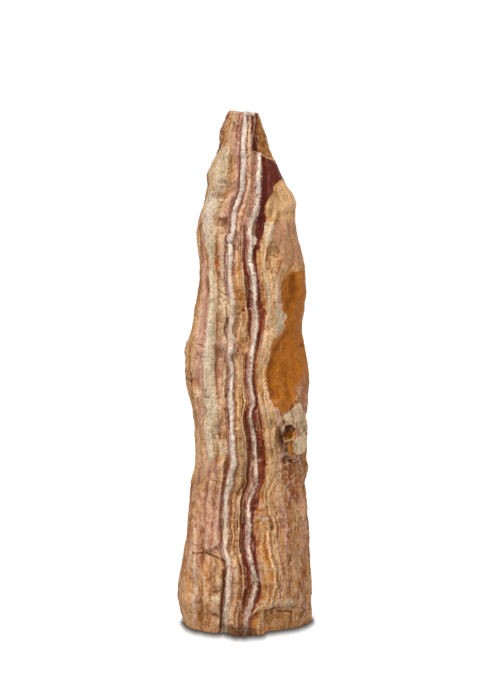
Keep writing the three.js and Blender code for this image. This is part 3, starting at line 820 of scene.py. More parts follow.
STRATA = (
    Stratum("rind", (
        Reach(0, "0 brown 0.2 tan 0.42 fawn 0.58 rose 0.74 tan 0.88 brown"),
        Reach(150, "0 brown 0.25 rose 0.45 tan 0.6 rose 0.8 brown"),
        Reach(340, "0 fawn 0.3 blush 0.46 tan 0.62 fawn 0.8 blush"),
        Reach(470, "0 tan 0.2 brown 0.4 fawn 0.58 rose 0.72 blush 0.88 rose"),
        Reach(670, "0 tan 0.3 peach 0.55 blush 0.75 rose 0.88 blush"),
        Reach(760, "0 brown 0.3 copper 0.5 blush 0.72 rose 0.86 brown"),
        Reach(850, "0 fawn 0.35 brown 0.7 rose"),
        Reach(950, "0 brown 0.25 tan 0.6 khaki"),
        Reach(1112, "0 umber 0.4 brown", 12),
    ), 0.08, 0.07),
    Stratum("khaki", (
        Reach(0, "0 tan 0.35 fawn 0.7 brown 0.88 tan"),
        Reach(95, "0 tan 0.35 fawn 0.7 brown 0.88 tan", 14),
        Reach(180, "0 rose 0.3 fawn 0.5 blush 0.7 rose 0.88 brown"),
        Reach(400, "0 khaki 0.36 khaki 0.55 sage 0.85 tan", 12),
        Reach(500, "0 sage 0.2 khaki 0.62 khaki 0.88 fawn", 12),
        Reach(560, "0 bone 0.25 khaki 0.6 sage 0.86 brown", 14),
        Reach(735, "0 sage 0.12 khaki 0.4 sage 0.8 fawn"),
        Reach(820, "0 brown 0.16 sage 0.3 khaki 0.5 sage 0.82 brown"),
        Reach(900, "0 sand 0.1 bone 0.5 khaki 0.72 sand 0.88 sage", 12),
        Reach(1010, "0 fawn 0.25 khaki 0.5 sage 0.7 sand 0.9 tan", 12),
        Reach(1110, "0 tan 0.24 brown 0.44 tan 0.66 sage 0.9 fawn", 14),
    ), 0.06, 0.07),
    Stratum("rose", (
        Reach(0, "0 tan 0.5 fawn 0.74 brown 0.88 umber"),
        Reach(62, "0 fawn 0.3 sand 0.7 tan 0.9 brown", 14),
        Reach(140, "0 tan 0.5 fawn 0.8 tan 0.92 brown", 14),
        Reach(190, "0 rose 0.3 blush 0.6 rose 0.9 brown", 8),
        Reach(335, "0 rose 0.2 fawn 0.55 peach 0.7 tan 0.88 brown"),
        Reach(400, "0 brown 0.3 tan 0.7 tan 0.86 umber"),
        Reach(470, "0 rose 0.25 peach 0.5 fawn 0.92 umber", 14),
        Reach(540, "0 rose 0.2 fawn 0.4 blush 0.6 sand 0.9 brown", 14),
        Reach(675, "0 rose 0.14 fawn 0.4 sand 0.86 brown", 8),
        Reach(735, "0 khaki 0.3 sand 0.82 sand 0.92 blush", 14),
        Reach(820, "0 brown 0.2 rose 0.45 blush 0.62 sand 0.86 lilac", 14),
        Reach(890, "0 fawn 0.15 peach 0.45 sand 0.6 peach 0.9 lilac", 12),
        Reach(955, "0 fawn 0.25 peach 0.45 blush 0.86 rose", 12),
        Reach(1035, "0 sand 0.15 tan 0.35 fawn 0.6 blush 0.92 mauve", 12),
        Reach(1100, "0 tan 0.1 rose 0.34 rose 0.6 mauve 0.75 blush", 12),
    )),
    Stratum("crevice", (
        Reach(0, "0 rose 0.2 lilac 0.5 bone"),
        Reach(300, "0 rose 0.3 lilac 0.7 bone"),
        Reach(520, "0 rose 0.2 lilac 0.6 bone"),
        Reach(900, "0 blush 0.25 mauve 0.75 lilac"),
        Reach(1125, "0 rose 0.4 mauve 0.8 lilac", 10),
    ), 0.2, 0.1),
    Stratum("first white", (
        Reach(0, "0 lilac 0.12 bone 0.35 khaki 0.62 sage 0.88 blush"),
        Reach(60, "0 lilac 0.12 bone 0.4 bone 0.62 sage 0.88 blush"),
        Reach(180, "0 sage 0.1 bone 0.3 bone 0.6 khaki 0.8 lilac 0.92 brown"),
        Reach(330, "0 sage 0.14 bone 0.4 chalk 0.6 bone 0.76 lilac 0.93 mauve"),
        Reach(430, "0 lilac 0.12 bone 0.4 chalk 0.7 bone 0.9 rose"),
        Reach(600, "0 lilac 0.14 bone 0.6 bone 0.87 rose"),
        Reach(860, "0 lilac 0.14 chalk 0.75 bone 0.9 rose"),
    ), 0.06, 0.06),
    Stratum("ochre", (
        Reach(0, "0 blush 0.3 fawn 0.62 tan 0.86 brown"),
        Reach(125, "0 blush 0.3 sand 0.62 fawn 0.9 tan", 14),
        Reach(195, "0 rose 0.2 brown 0.44 fawn 0.76 brown", 12),
        Reach(335, "0 rose 0.22 tan 0.38 cream 0.64 fawn 0.9 tan"),
        Reach(560, "0 blush 0.2 fawn 0.34 cream 0.64 peach 0.85 cream", 14),
        Reach(720, "0 fawn 0.2 tan 0.34 ochre 0.6 cream 0.8 fawn", 14),
        Reach(820, "0 rose 0.22 rose 0.38 peach 0.72 peach 0.9 rose"),
        Reach(950, "0 rose 0.2 blush 0.36 peach 0.8 peach"),
    ), 0.05, 0.04),
    Stratum("orange", (
        Reach(0, "0 brown 0.28 umber 0.44 fawn 0.7 umber"),
        Reach(170, "0 brown 0.3 umber 0.56 fawn 0.76 umber"),
        Reach(400, "0 tan 0.3 umber 0.56 cream 0.88 umber"),
        Reach(560, "0 fawn 0.36 brown 0.54 cream 0.9 brown", 14),
        Reach(640, "0 fawn 0.3 cream 0.75 fawn", 14),
        Reach(720, "0 ochre 0.4 brown 0.62 cream 0.92 umber", 14),
        Reach(870, "0 rose 0.32 wine 0.56 fawn 0.84 mauve", 14),
        Reach(950, "0 rose 0.36 mauve 0.58 fawn 0.86 mauve", 14),
        Reach(1100, "0 rose 0.4 brown 0.7 umber", 8),
    ), 0.05, 0.04),
    Stratum("maroon", (
        Reach(0, "0 umber 0.35 brown 0.6 umber 0.85 lilac"),
        Reach(120, "0 umber 0.25 oxblood 0.62 wine 0.86 lilac"),
        Reach(310, "0 umber 0.25 mauve 0.5 rose 0.7 umber 0.92 mauve"),
        Reach(410, "0 brown 0.2 oxblood 0.5 wine 0.86 mauve"),
        Reach(530, "0 fawn 0.2 wine 0.5 mauve 0.8 rose", 12),
        Reach(640, "0 fawn 0.14 cream 0.42 rose 0.86 mauve", 12),
        Reach(685, "0 brown 0.16 wine 0.5 plum 0.62 rose 0.82 lilac", 12),
        Reach(860, "0 mauve 0.16 wine 0.5 rose 0.86 lilac"),
        Reach(940, "0 blush 0.3 rose 0.7 lilac"),
        Reach(1100, "0 umber 0.5 oxblood", 8),
    ), 0.05, 0.05),
    Stratum("second white", (
        Reach(0, "0 mauve 0.2 lilac 0.4 bone 0.6 lilac 0.85 mauve"),
        Reach(60, "0 lilac 0.22 sage 0.44 bone 0.7 lilac 0.9 wine"),
        Reach(160, "0 wine 0.16 lilac 0.32 bone 0.6 lilac 0.82 wine"),
        Reach(360, "0 lilac 0.2 bone 0.76 lilac 0.9 wine"),
        Reach(462, "0 umber 0.25 lichen 0.55 lichen 0.76 umber", 8),
        Reach(500, "0 mauve 0.18 lilac 0.36 bone 0.66 lilac 0.86 wine", 8),
        Reach(640, "0 lilac 0.16 bone 0.4 chalk 0.6 bone 0.84 mauve", 12),
        Reach(750, "0 lilac 0.16 chalk 0.7 bone 0.88 mauve", 12),
        Reach(930, "0 lilac 0.14 chalk 0.8 bone 0.93 mauve", 12),
    ), 0.06, 0.06),
    Stratum("dark red", (
        Reach(0, "0 mauve 0.25 wine 0.6 rust 0.85 copper"),
        Reach(100, "0 wine 0.25 oxblood 0.75 rust"),
        Reach(320, "0 mauve 0.2 rust 0.45 brick 0.6 rust 0.9 copper"),
        Reach(440, "0 wine 0.3 oxblood 0.45 copper 0.62 wine 0.9 copper"),
        Reach(570, "0 brick 0.4 brick 0.75 ochre"),
        Reach(660, "0 mauve 0.2 wine 0.5 oxblood 0.9 brick"),
        Reach(885, "0 mauve 0.2 wine 0.6 oxblood"),
    ), 0.06, 0.05),
    Stratum("cream", (
        Reach(0, "0 copper 0.12 ochre 0.3 fawn 0.46 copper 0.6 cream 0.72 brown 0.9 cream"),
        Reach(130, "0 brick 0.08 copper 0.2 fawn 0.36 ochre 0.5 copper 0.62 cream 0.74 brown 0.9 fawn"),
        Reach(260, "0 honey 0.25 copper 0.42 cream 0.56 fawn 0.7 copper 0.86 cream", 14),
        Reach(345, "0 ochre 0.2 cream 0.62 peach 0.76 tan 0.88 peach", 14),
        Reach(410, "0 ochre 0.2 cream 0.5 tan 0.64 copper 0.8 cream", 14),
        Reach(480, "0 brown 0.14 fawn 0.4 tan 0.54 copper 0.7 sand 0.92 tan", 14),
        Reach(570, "0 copper 0.2 tan 0.45 fawn 0.65 tan 0.82 cream"),
        Reach(655, "0 brick 0.12 cream 0.4 peach 0.66 cream", 14),
        Reach(740, "0 brick 0.15 ochre 0.36 fawn 0.54 copper 0.66 sand 0.92 fawn"),
        Reach(860, "0 copper 0.12 gold 0.3 fawn 0.5 tan 0.68 cream 0.88 brown"),
    ), 0.04, 0.04),
    Stratum("tan", (
        Reach(0, "0 cream 0.12 rose 0.4 tan 0.72 brown"),
        Reach(200, "0 cream 0.12 brown 0.3 tan 0.6 rose"),
        Reach(300, "0 cream 0.12 fawn 0.5 blush 0.75 fawn", 14),
        Reach(350, "0 fawn 0.3 peach 0.6 blush 0.88 brown", 14),
        Reach(430, "0 cream 0.3 fawn 0.6 blush", 14),
        Reach(540, "0 cream 0.35 peach 0.8 ochre"),
        Reach(690, "0 cream 0.2 fawn 0.42 sand 0.6 blush 0.85 tan"),
        Reach(820, "0 tan 0.2 fawn 0.5 brown 0.65 tan 0.85 fawn"),
    ), 0.05, 0.06),
    Stratum("amber", (
        Reach(0, "0 tan 0.35 brown 0.7 tan"),
        Reach(150, "0 brown 0.3 tan 0.55 rose 0.8 brown"),
        Reach(300, "0 brown 0.25 brick 0.6 brown 0.8 copper"),
        Reach(540, "0 honey 0.3 deep_honey 0.6 honey", 12),
        Reach(812, "0 ochre 0.3 tan 0.66 copper", 10),
        Reach(850, "0 tan 0.3 fawn 0.7 tan", 14),
    ), 0.06, 0.1),
)


def round_outline(across: float, height: float, wide: float, tall: float) -> Points:
    """Draws a round face round a middle, half so wide and half so tall as it is given."""
    turns = [math.tau * i / 10 for i in range(10)]
    return tuple((across + wide * math.cos(turn), height + tall * math.sin(turn)) for turn in turns)


FACES = (
    BareFace("notch", (
        (13, 1106), (15, 1133), (13, 1162), (18, 1190), (22, 1206), (75, 1206), (75, 1152), (75, 1106),
        (72, 1088), (56, 1092), (43, 1098), (24, 1106),
    ), 60),
    BareFace("red_face", (
        (36, 1102), (50, 1093), (65, 1089), (82, 1077), (99, 1059), (99, 1040), (84, 1030), (68, 1030),
        (62, 1012), (54, 998), (46, 982), (46, 966), (49, 946), (44, 927), (36, 905), (30, 880),
        (22, 878), (24, 909), (30, 957), (36, 985), (38, 1015), (41, 1065), (37, 1093),
    )),
    BareFace("cream_face", (
        (85, 1047), (99, 1040), (112, 1022), (134, 998), (134, 971), (127, 936), (106, 935), (98, 926),
        (85, 930), (68, 948), (54, 951), (49, 948), (45, 964), (44, 985), (54, 998), (64, 1012),
        (68, 1031),
    ), 55),
    BareFace("flat_face", (
        (65, 947), (88, 955), (114, 947), (126, 925), (132, 867), (136, 838), (103, 840), (88, 850),
        (76, 873), (67, 907),
    )),
    BareFace("pale_patch", (
        (45, 945), (54, 948), (66, 944), (69, 926), (61, 905), (54, 888), (46, 893), (43, 914),
    )),
    BareFace("pale_patch", ((-63, 786), (-44, 779), (-30, 765), (-28, 731), (-43, 731), (-56, 740))),
    BareFace("pale_patch", ((-60, 445), (-47, 452), (-41, 440), (-43, 410), (-54, 402), (-60, 415))),
    BareFace("pale_patch", ((-120, 560), (-108, 574), (-100, 566), (-102, 548), (-114, 542))),
    BareFace("honey_face", (
        (87, 801), (96, 817), (106, 831), (123, 838), (165, 840), (165, 720), (165, 586), (150, 580),
        (133, 571), (123, 552), (115, 534), (103, 515), (89, 508), (77, 513), (63, 525), (56, 545),
        (52, 561), (47, 579), (45, 600), (52, 630), (57, 653), (59, 666), (63, 678), (78, 683),
        (91, 697), (87, 714), (97, 725), (87, 743), (87, 766), (83, 790),
    ), 70),
    BareFace("scab", (
        (70, 748), (80, 748), (88, 736), (97, 729), (90, 717), (90, 701), (80, 688), (71, 684),
        (68, 698), (72, 716), (70, 730),
    )),
    BareFace("pit", (
        (79, 481), (84, 492), (96, 486), (110, 489), (120, 479), (117, 463), (101, 460), (94, 455),
        (94, 442), (101, 417), (99, 400), (90, 392), (84, 414), (78, 442),
    )),
    BareFace("pit", ((92, 400), (108, 403), (122, 399), (134, 402), (136, 390), (118, 376), (99, 375))),
    BareFace("pit_gold", (
        (96, 458), (106, 465), (117, 459), (115, 448), (106, 441), (110, 424), (113, 408), (103, 405),
        (98, 425), (95, 446),
    )),
    BareFace("pit_lump", (
        (108, 434), (121, 449), (139, 452), (150, 441), (152, 419), (136, 405), (121, 404), (110, 414),
    )),
    BareFace("pit_brow", (
        (79, 497), (95, 506), (112, 518), (125, 530), (134, 512), (146, 487), (152, 453), (132, 448),
        (119, 479), (96, 486),
    )),
    BareFace("ashen", ((117, 557), (127, 583), (145, 588), (158, 575), (158, 515), (140, 506), (125, 530))),
    BareFace("ashen", ((134, 530), (150, 545), (158, 500), (150, 486), (138, 505))),
    BareFace("foot_face", (
        (36, 45), (50, 66), (70, 60), (92, 52), (108, 45), (107, 16), (96, -12), (39, -28), (29, 20),
    )),
    BareFace("orange_patch", ((61, 37), (73, 43), (87, 36), (89, 21), (80, 12), (66, 16))),
    BareFace("orange_patch", ((-64, 957), (-48, 958), (-37, 948), (-40, 937), (-56, 935))),
    BareFace("orange_patch", ((-102, 170), (-88, 172), (-80, 150), (-88, 132), (-100, 138))),
    BareFace("gold_patch", (
        (26, 296), (38, 291), (50, 279), (50, 270), (36, 262), (28, 246), (21, 222), (16, 240),
        (19, 272),
    )),
    BareFace("gold_patch", ((-20, 800), (-4, 803), (-1, 770), (-2, 735), (-18, 732), (-22, 765))),
    BareFace("gold_patch", ((-14, 690), (-4, 696), (-2, 668), (-4, 640), (-16, 645), (-20, 668))),
    BareFace("brown_patch", ((-77, 1012), (-60, 1015), (-40, 1013), (-38, 1002), (-56, 998), (-76, 1003))),
    BareFace("brown_patch", ((-75, 962), (-68, 966), (-63, 950), (-64, 937), (-73, 939))),
    # The next two brown patches are painted shade, under the bulges low on the left block.
    BareFace("brown_patch", ((-61, 118), (-54, 126), (-48, 112), (-54, 92), (-72, 98))),
    BareFace("brown_patch", ((-74, 66), (-62, 74), (-56, 56), (-60, 40), (-78, 42))),
    BareFace("brown_patch", ((-140, 610), (-128, 604), (-120, 582), (-126, 560), (-142, 570))),
    BareFace("brown_patch", ((-24, 650), (-18, 655), (-15, 640), (-18, 630), (-26, 634))),
    BareFace("brown_patch", (
        (84, 366), (108, 384), (137, 388), (152, 380), (150, 352), (112, 346), (84, 350),
    )),
    BareFace("red_patch", ((24, 461), (38, 461), (47, 423), (49, 376), (46, 349), (30, 345), (26, 400))),
    BareFace("red_patch", ((26, 760), (40, 764), (46, 742), (43, 700), (36, 664), (26, 662), (28, 710))),
    BareFace("sooty_patch", (
        (-56, -30), (-54, 20), (-38, 26), (-22, 20), (-6, 32), (8, 20), (26, 16), (36, -30),
    )),
    BareFace("grimy_patch", (
        (-42, -20), (-38, 22), (-20, 34), (-6, 50), (4, 30), (22, 24), (34, 12), (40, -20),
    )),
    BareFace("grimy_patch", ((-26, 30), (-20, 96), (-14, 110), (-8, 92), (-4, 40))),
    BareFace("grey_patch", ((-92, 500), (-66, 494), (-61, 470), (-74, 455), (-92, 466))),
    BareFace("grey_patch", ((90, 76), (108, 80), (112, 60), (104, 50), (90, 56))),
    BareFace("rosy_patch", (
        (-62, 669), (-29, 671), (-14, 660), (-16, 648), (-33, 642), (-45, 645), (-60, 652),
    )),
    BareFace("pink_block", (
        (-96, 322), (-62, 324), (-49, 306), (-50, 226), (-54, 186), (-80, 192), (-98, 196), (-104, 250),
    )),
    BareFace("pale_patch", round_outline(-114, 98, 5, 10)),
    BareFace("pale_patch", round_outline(-70, 86, 9, 8)),
    BareFace("gold_patch", round_outline(-86, 120, 14, 10)),
    BareFace("gold_patch", round_outline(-88, 62, 10, 12)),
    BareFace("brown_patch", round_outline(-101, 94, 8, 9)),
    BareFace("knob", round_outline(-36, 908, 8, 12)),
    BareFace("knob", ((9, 912), (21, 915), (27, 906), (23, 893), (10, 889))),
    BareFace("knob", round_outline(-32, 652, 9, 10)),
    BareFace("knob", ((-3, 1196), (10, 1199), (21, 1197), (20, 1191), (6, 1192), (-2, 1190))),
    BareFace("knob", ((32, 266), (44, 268), (54, 266), (52, 261), (40, 262))),
)


def read(items: bpy.types.bpy_prop_collection, name: str, each: int, kind: type = float) -> np.ndarray:
    """Reads one thing off each part of a mesh.

    Args:
        items: The mesh's parts, such as its edges.
        name: What is read.
        each: How many numbers it is.
        kind: What kind of numbers they are.

    Returns:
        One row for each part.
    """
    flat = np.empty(len(items) * each, kind)
    items.foreach_get(name, flat)
    return flat.reshape(-1, each)


def keep(mesh: bpy.types.Mesh, name: str, values: np.ndarray) -> None:
    """Keeps one number for each place of a mesh, for the finish to read."""
    stored = mesh.attributes.new(name, "FLOAT", "POINT")
    stored.data.foreach_set("value", values.astype(np.float32))


def placed(name: str, data: bpy.types.ID) -> bpy.types.Object:
    """Places a new object in the scene.

    Args:
        name: The object's name.
        data: Its mesh, light or camera.

    Returns:
        The object.
    """
    made = bpy.data.objects.new(name, data)
    bpy.context.scene.collection.objects.link(made)
    return made


def inside_of(name: str, places: np.ndarray) -> np.ndarray:
    """Measures the millimetres that each place is inside the faces of one name, below zero outside."""
    return np.max([face.inside(places) for face in FACES if face.name == name], axis=0)


STROKES = tuple(
    Stroke(kind, *row)
    for kind, rows in (
        ("dark_crack", (
            ((
                (-122, 180), (-108, 183), (-91, 186), (-77, 182), (-66, 179), (-54, 174), (-47, 166),
            ), 1.9, 2.0, 3.0),
            (((-50, 168), (-46, 158), (-45, 146), (-46, 134)), 1.6, 1.8),
            (((-74, 101), (-63, 101), (-54, 108)), 1.2, 1.4, 1.8),
            (((-91, 15), (-89, 30), (-87, 47), (-86, 69)), 0.8, 1.0),
            (((73, 48), (84, 46), (96, 45), (108, 41)), 1.6, 1.8, 2.0),
            (((101, 9), (106, 24), (108, 41)), 1.2, 1.4),
            (((92, 373), (104, 382), (118, 388), (133, 392)), 1.0, 1.2),
            (((-61, 792), (-52, 783), (-42, 777)), 0.9, 1.0),
            (((-59, 529), (-50, 522), (-43, 512)), 0.9, 1.0),
            (((-110, 665), (-103, 663), (-96, 659)), 1.2, 1.2),
            (((-103, 636), (-93, 636)), 1.0, 1.0),
            (((-140, 582), (-129, 577), (-120, 571)), 1.2, 1.4),
            (((-45, 760), (-43, 735), (-42, 706), (-43, 680)), 1.0, 1.4),
            (((-42, 640), (-41, 615), (-38, 590), (-40, 560), (-45, 545)), 1.0, 1.4),
            (((-40, 520), (-38, 500), (-38, 470), (-40, 440)), 1.2, 1.6),
            (((-44, 848), (-42, 835), (-43, 805)), 1.2, 1.4),
            (((-55, 245), (-55, 225), (-54, 208)), 1.6, 1.8),
            (((-50, 150), (-48, 120), (-55, 80), (-55, 40), (-57, 12)), 1.8, 2.4),
            (((-12, 1100), (-13, 1060), (-17, 1030), (-22, 1000)), 1.0, 1.2),
            (((4, 1190), (6, 1160), (4, 1130), (3, 1100)), 1.0, 1.4),
            (((3, 400), (2, 345), (-1, 300), (-5, 270)), 0.6),
            (((-46, 914), (-45, 904), (-40, 897), (-33, 896), (-27, 901)), 1.0, 1.2),
            (((3, 520), (8, 514), (16, 513), (24, 518), (28, 526)), 0.9, 1.0),
            ((
                (-4, 735), (-3, 700), (-4, 670), (-6, 640), (-5, 600), (-7, 570), (-6, 540), (-9, 500),
            ), 0.5, 0.8),
            (((-15, 775), (-14, 720)), 0.5),
            (((-18, 660), (-17, 648)), 0.9, 1.2),
            (((52, 864), (60, 830), (66, 808)), 0.6, 0.8),
        )),
        ("pale_vein", (
            (((10, 44), (28, 64), (49, 75), (65, 77)), 1.0),
            (((33, 29), (42, 42), (61, 50), (80, 55)), 1.2),
            (((57, 552), (64, 572), (73, 590)), 0.8),
            (((66, 508), (70, 530), (72, 556)), 0.5),
            (((80, 640), (82, 652), (84, 668)), 0.8),
            (((124, 401), (128, 385), (131, 366)), 0.8),
            (((95, 331), (103, 312), (112, 290)), 0.8),
            (((110, 345), (114, 330)), 0.6),
            (((128, 520), (134, 505), (141, 492)), 1.0),
            (((56, 800), (60, 740), (59, 700), (58, 660), (54, 630)), 1.0),
            (((-118, 236), (-117, 190), (-119, 150), (-116, 110), (-118, 70), (-116, 30)), 2.6),
            (((28, 632), (38, 634), (50, 633)), 0.9),
            (((28, 300), (40, 294), (53, 281), (54, 270)), 0.8),
            (((38, 722), (48, 716), (59, 722)), 0.8),
            (((-76, 672), (-60, 668), (-42, 670)), 0.8),
        )),
    )
    for row in rows
)


@dataclass
class StoneSkin:
    """The stone's skin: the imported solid's form, with the relief that is finer than its facets."""

    cell: float = 2.5  # the size of the skin's facets before it is thinned
    faces: int = 192_000
    rounding: int = 5  # how often the solid's facets are eased into each other
    sunk: float = 0.7  # how far the skin lies inside the solid, so that its crests reach the solid's
    splits: int = 900  # how many flat flakes the skin breaks into
    split_size: tuple[float, float] = (15.0, 34.0)
    split_depth: float = 0.6
    split_tilt: float = 0.05
    flute: float = 0.75
    crack: float = 1.2
    grain: float = 0.5
    lumps: float = 1.6
    knob: float = 2.4
    block_level: float = 0.7
    block_tilt: float = 0.035
    joint: float = 0.8
    slip: float = 0.08  # how far the layers are set over at a block's edge, in layers
    white_slip: float = 1.6  # how much further the white ones are
    crevice: float = 1.4  # how deep the layer beside the first white one is hollowed
    waves: float = 1.1
    near_hollows: int = 7  # how often the skin is eased to find its small hollows
    far_hollows: int = 50  # and its wide ones
    margin: float = 0.02  # how far the skin stays inside the solid's box
    flat_foot: float = 1.2  # what lies lower than this is pressed flat onto the ground
    body: str = "root"
    blocks: Blocks = field(default_factory=lambda: Blocks(19))
    grit: Grit = field(default_factory=lambda: Grit(41))
    stray: Grit = field(default_factory=lambda: Grit(7))

    def build(self) -> bpy.types.Object:
        """Builds the skin.

        Returns:
            The stone as one object, with what its finish reads measured on it.
        """
        stone = self._remeshed(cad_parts["monolith"])
        places = self.places(stone.data)
        places = self._eased(stone.data, places, self.rounding)
        self.move(stone.data, places)
        places = places + self._facing(stone.data) * self._relief(places)[:, None]
        self.move(stone.data, self._within_solid(places))
        stone = self._thinned(stone)
        self.move(stone.data, self._within_solid(self.places(stone.data)))
        self._measure(stone.data)
        stone.data.polygons.foreach_set("use_smooth", [True] * len(stone.data.polygons))
        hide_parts("monolith")
        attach(stone, self.body)
        return stone

    def _remeshed(self, solid: bpy.types.Object) -> bpy.types.Object:
        """Copies the solid as a skin of even facets.

        Args:
            solid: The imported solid.

        Returns:
            The skin.
        """
        mesh = solid.data.copy()
        joined = bmesh.new()
        joined.from_mesh(mesh)
        bmesh.ops.remove_doubles(joined, verts=joined.verts, dist=1e-5)
        joined.to_mesh(mesh)
        joined.free()
        mesh.materials.clear()
        stone = placed("onyx_stone", mesh)
        even = stone.modifiers.new("even", "REMESH")
        even.mode = "VOXEL"
        even.voxel_size = self.cell / MM
        even.adaptivity = 0
        return self._applied(stone)

    def _thinned(self, stone: bpy.types.Object) -> bpy.types.Object:
        """Thins the skin to its number of faces.

        Args:
            stone: The skin.

        Returns:
            The same object, thinned.
        """
        flat = sum(len(p.vertices) - 2 for p in stone.data.polygons)
        thin = stone.modifiers.new("thin", "DECIMATE")
        thin.ratio = min(1.0, self.faces / flat)
        thin.use_collapse_triangulate = True
        return self._applied(stone)

    @staticmethod
    def _applied(stone: bpy.types.Object) -> bpy.types.Object:
        """Makes the object's modifiers part of its mesh.

        Args:
            stone: The object.

        Returns:
            The same object, with its new mesh.
        """
        whole = stone.evaluated_get(bpy.context.evaluated_depsgraph_get())
        mesh = bpy.data.meshes.new_from_object(whole)
        stone.modifiers.clear()
        old = stone.data
        stone.data = mesh
        bpy.data.meshes.remove(old)
        mesh.name = "onyx_stone"
        return stone

    @staticmethod
    def places(mesh: bpy.types.Mesh) -> np.ndarray:
        """Reads the mesh's places, in millimetres."""
        return read(mesh.vertices, "co", 3) * MM

    @staticmethod
    def move(mesh: bpy.types.Mesh, places: np.ndarray) -> None:
        """Moves the mesh to new places, in millimetres."""
        mesh.vertices.foreach_set("co", (places / MM).ravel())
        mesh.update()

    @staticmethod
    def _facing(mesh: bpy.types.Mesh) -> np.ndarray:
        """Reads the way in which the mesh faces at each place."""
        return read(mesh.vertex_normals, "vector", 3)

    @staticmethod
    def _eased(mesh: bpy.types.Mesh, values: np.ndarray, times: int) -> np.ndarray:
        """Evens values out over the mesh.

        Args:
            mesh: The mesh whose neighbours are averaged.
            values: One row for each of its places.
            times: How often each row moves halfway to its neighbours' average.

        Returns:
            The evened rows.
        """
        one, two = read(mesh.edges, "vertices", 2, int).T
        count = len(mesh.vertices)
        shared = np.maximum(np.bincount(one, minlength=count) + np.bincount(two, minlength=count), 1)
        eased = values.copy()
        for _ in range(times):
            for axis in range(eased.shape[1]):
                column = eased[:, axis]
                around = np.bincount(one, column[two], count) + np.bincount(two, column[one], count)
                eased[:, axis] = (column + around / shared) / 2
        return eased

    def _within_solid(self, places: np.ndarray) -> np.ndarray:
        """Keeps the skin in the solid's box, and its foot flat on the ground.

        Args:
            places: Places on the skin, in millimetres.

        Returns:
            The places where they may be.
        """
        low = np.array(CAD_BOX[0]) * MM + self.margin
        high = np.array(CAD_BOX[1]) * MM - self.margin
        low[2] = 0
        kept = np.clip(places, low, high)
        kept[places[:, 2] < self.flat_foot, 2] = 0
        return kept

    def _wander(self, places: np.ndarray) -> np.ndarray:
        """How far the layers wander sideways between the guide lines.

        Args:
            places: Places on the stone, in millimetres.

        Returns:
            Millimetres to the right for each place.
        """
        near = places / [40, 60, 13]
        wide = places / [90, 70, 33]
        return 1.3 * self.stray.at(near) + 1.4 * self.stray.at(wide + 9.1)

    def _smoothness(self, places: np.ndarray) -> np.ndarray:
        """How waxy and smooth the break is at each place, from 0 to 1."""
        inside = np.max([inside_of(name, places) for name in WAXY], axis=0)
        return np.clip(inside / 6 + 0.5, 0, 1)

    def _flakes(self, places: np.ndarray) -> np.ndarray:
        """The flat flakes that the skin breaks into.

        Args:
            places: Places on the stone, in millimetres.

        Returns:
            How far each place stands out, in millimetres.
        """
        chosen = np.random.default_rng(23)
        scale = np.array([self.split_size[0], self.split_size[0], self.split_size[1]])
        centres = places[chosen.choice(len(places), self.splits, replace=False)] / scale
        tree = KDTree(self.splits)
        for i, centre in enumerate(centres):
            tree.insert(centre, i)
        tree.balance()
        bent = places / scale + 0.35 * np.stack(
            [self.stray.at(places / 11 + shift) for shift in (0.0, 31.7, 63.1)], axis=1
        )
        nearest = np.fromiter((tree.find(place)[1] for place in bent), int, len(bent))
        level = chosen.normal(0, self.split_depth, self.splits)
        tilt = chosen.normal(0, self.split_tilt, (self.splits, 3)) * [1, 1, 0.6]
        away = places - centres[nearest] * scale
        lean = np.einsum("ij,ij->i", tilt[nearest], away)
        return level[nearest] + np.clip(lean, -1.5, 1.5)

    def _relief(self, places: np.ndarray) -> np.ndarray:
        """The relief finer than the solid's facets.

        Args:
            places: Places on the solid, in millimetres.

        Returns:
            How far out of the solid each place moves, in millimetres.
        """
        number = LAYERS.number(places, self._wander(places))
        rolls, joint, above = self._blocks(number, places)
        growth = LAYERS.depth_in(number)
        share = number % 1
        layer = number.astype(int)
        height = places[:, 2]
        smooth = self._smoothness(places)
        rugged = 1 - 0.8 * smooth
        pitted = np.clip(inside_of("pit", places) / 6 + 0.5, 0, 1)

        out = self._flakes(places) * (1 - 0.7 * smooth)
        out += (rolls[:, 0] * self.block_level + rolls[:, 1] * self.block_tilt * above) * rugged
        opened = np.clip(3 * self.grit.at(places / [38, 50, 60] + 2.2) + 0.35, 0, 1)
        out -= self.joint * np.clip(1 - joint / 1.5, 0, 1) * opened * rugged
        grown = np.stack([growth, places[:, 1], height], axis=1)
        out += self.flute * self.grit.at(grown / [9, 90, 120]) * rugged * 1.3
        out += self.flute * 0.7 * self.grit.at(grown / [3.6, 40, 60] + 5.5) * rugged

        white = np.isin(layer, WHITES)
        swell = np.stack([layer * 7.7, places[:, 1] / 60, height / 22], axis=1)
        out += np.where(white, self.lumps * (1 - (2 * share - 1) ** 2) * (1 + 1.6 * self.grit.at(swell)), 0)
        hollow = np.where(layer == CREVICE, np.sin(np.pi * np.clip(share, 0, 1)), 0)
        out -= self.crevice * hollow * np.clip(0.5 + 1.4 * self.grit.at(swell + 3.3), 0, 1.4)

        level = self.grit.at(grown / [55, 60, 15]) + 0.25 * self.grit.at(places / 8)
        seam = 1 - np.abs(level) / 0.075
        out -= self.crack * np.clip(seam, 0, 1) * opened * rugged
        seam = 1 - np.abs(self.grit.at(grown / [7, 45, 95] + 8.8)) / 0.12
        split = np.clip(2 * self.grit.at(places / 60 + 4) + 0.2, 0, 1)
        out -= 0.6 * self.crack * np.clip(seam, 0, 1) * split * rugged

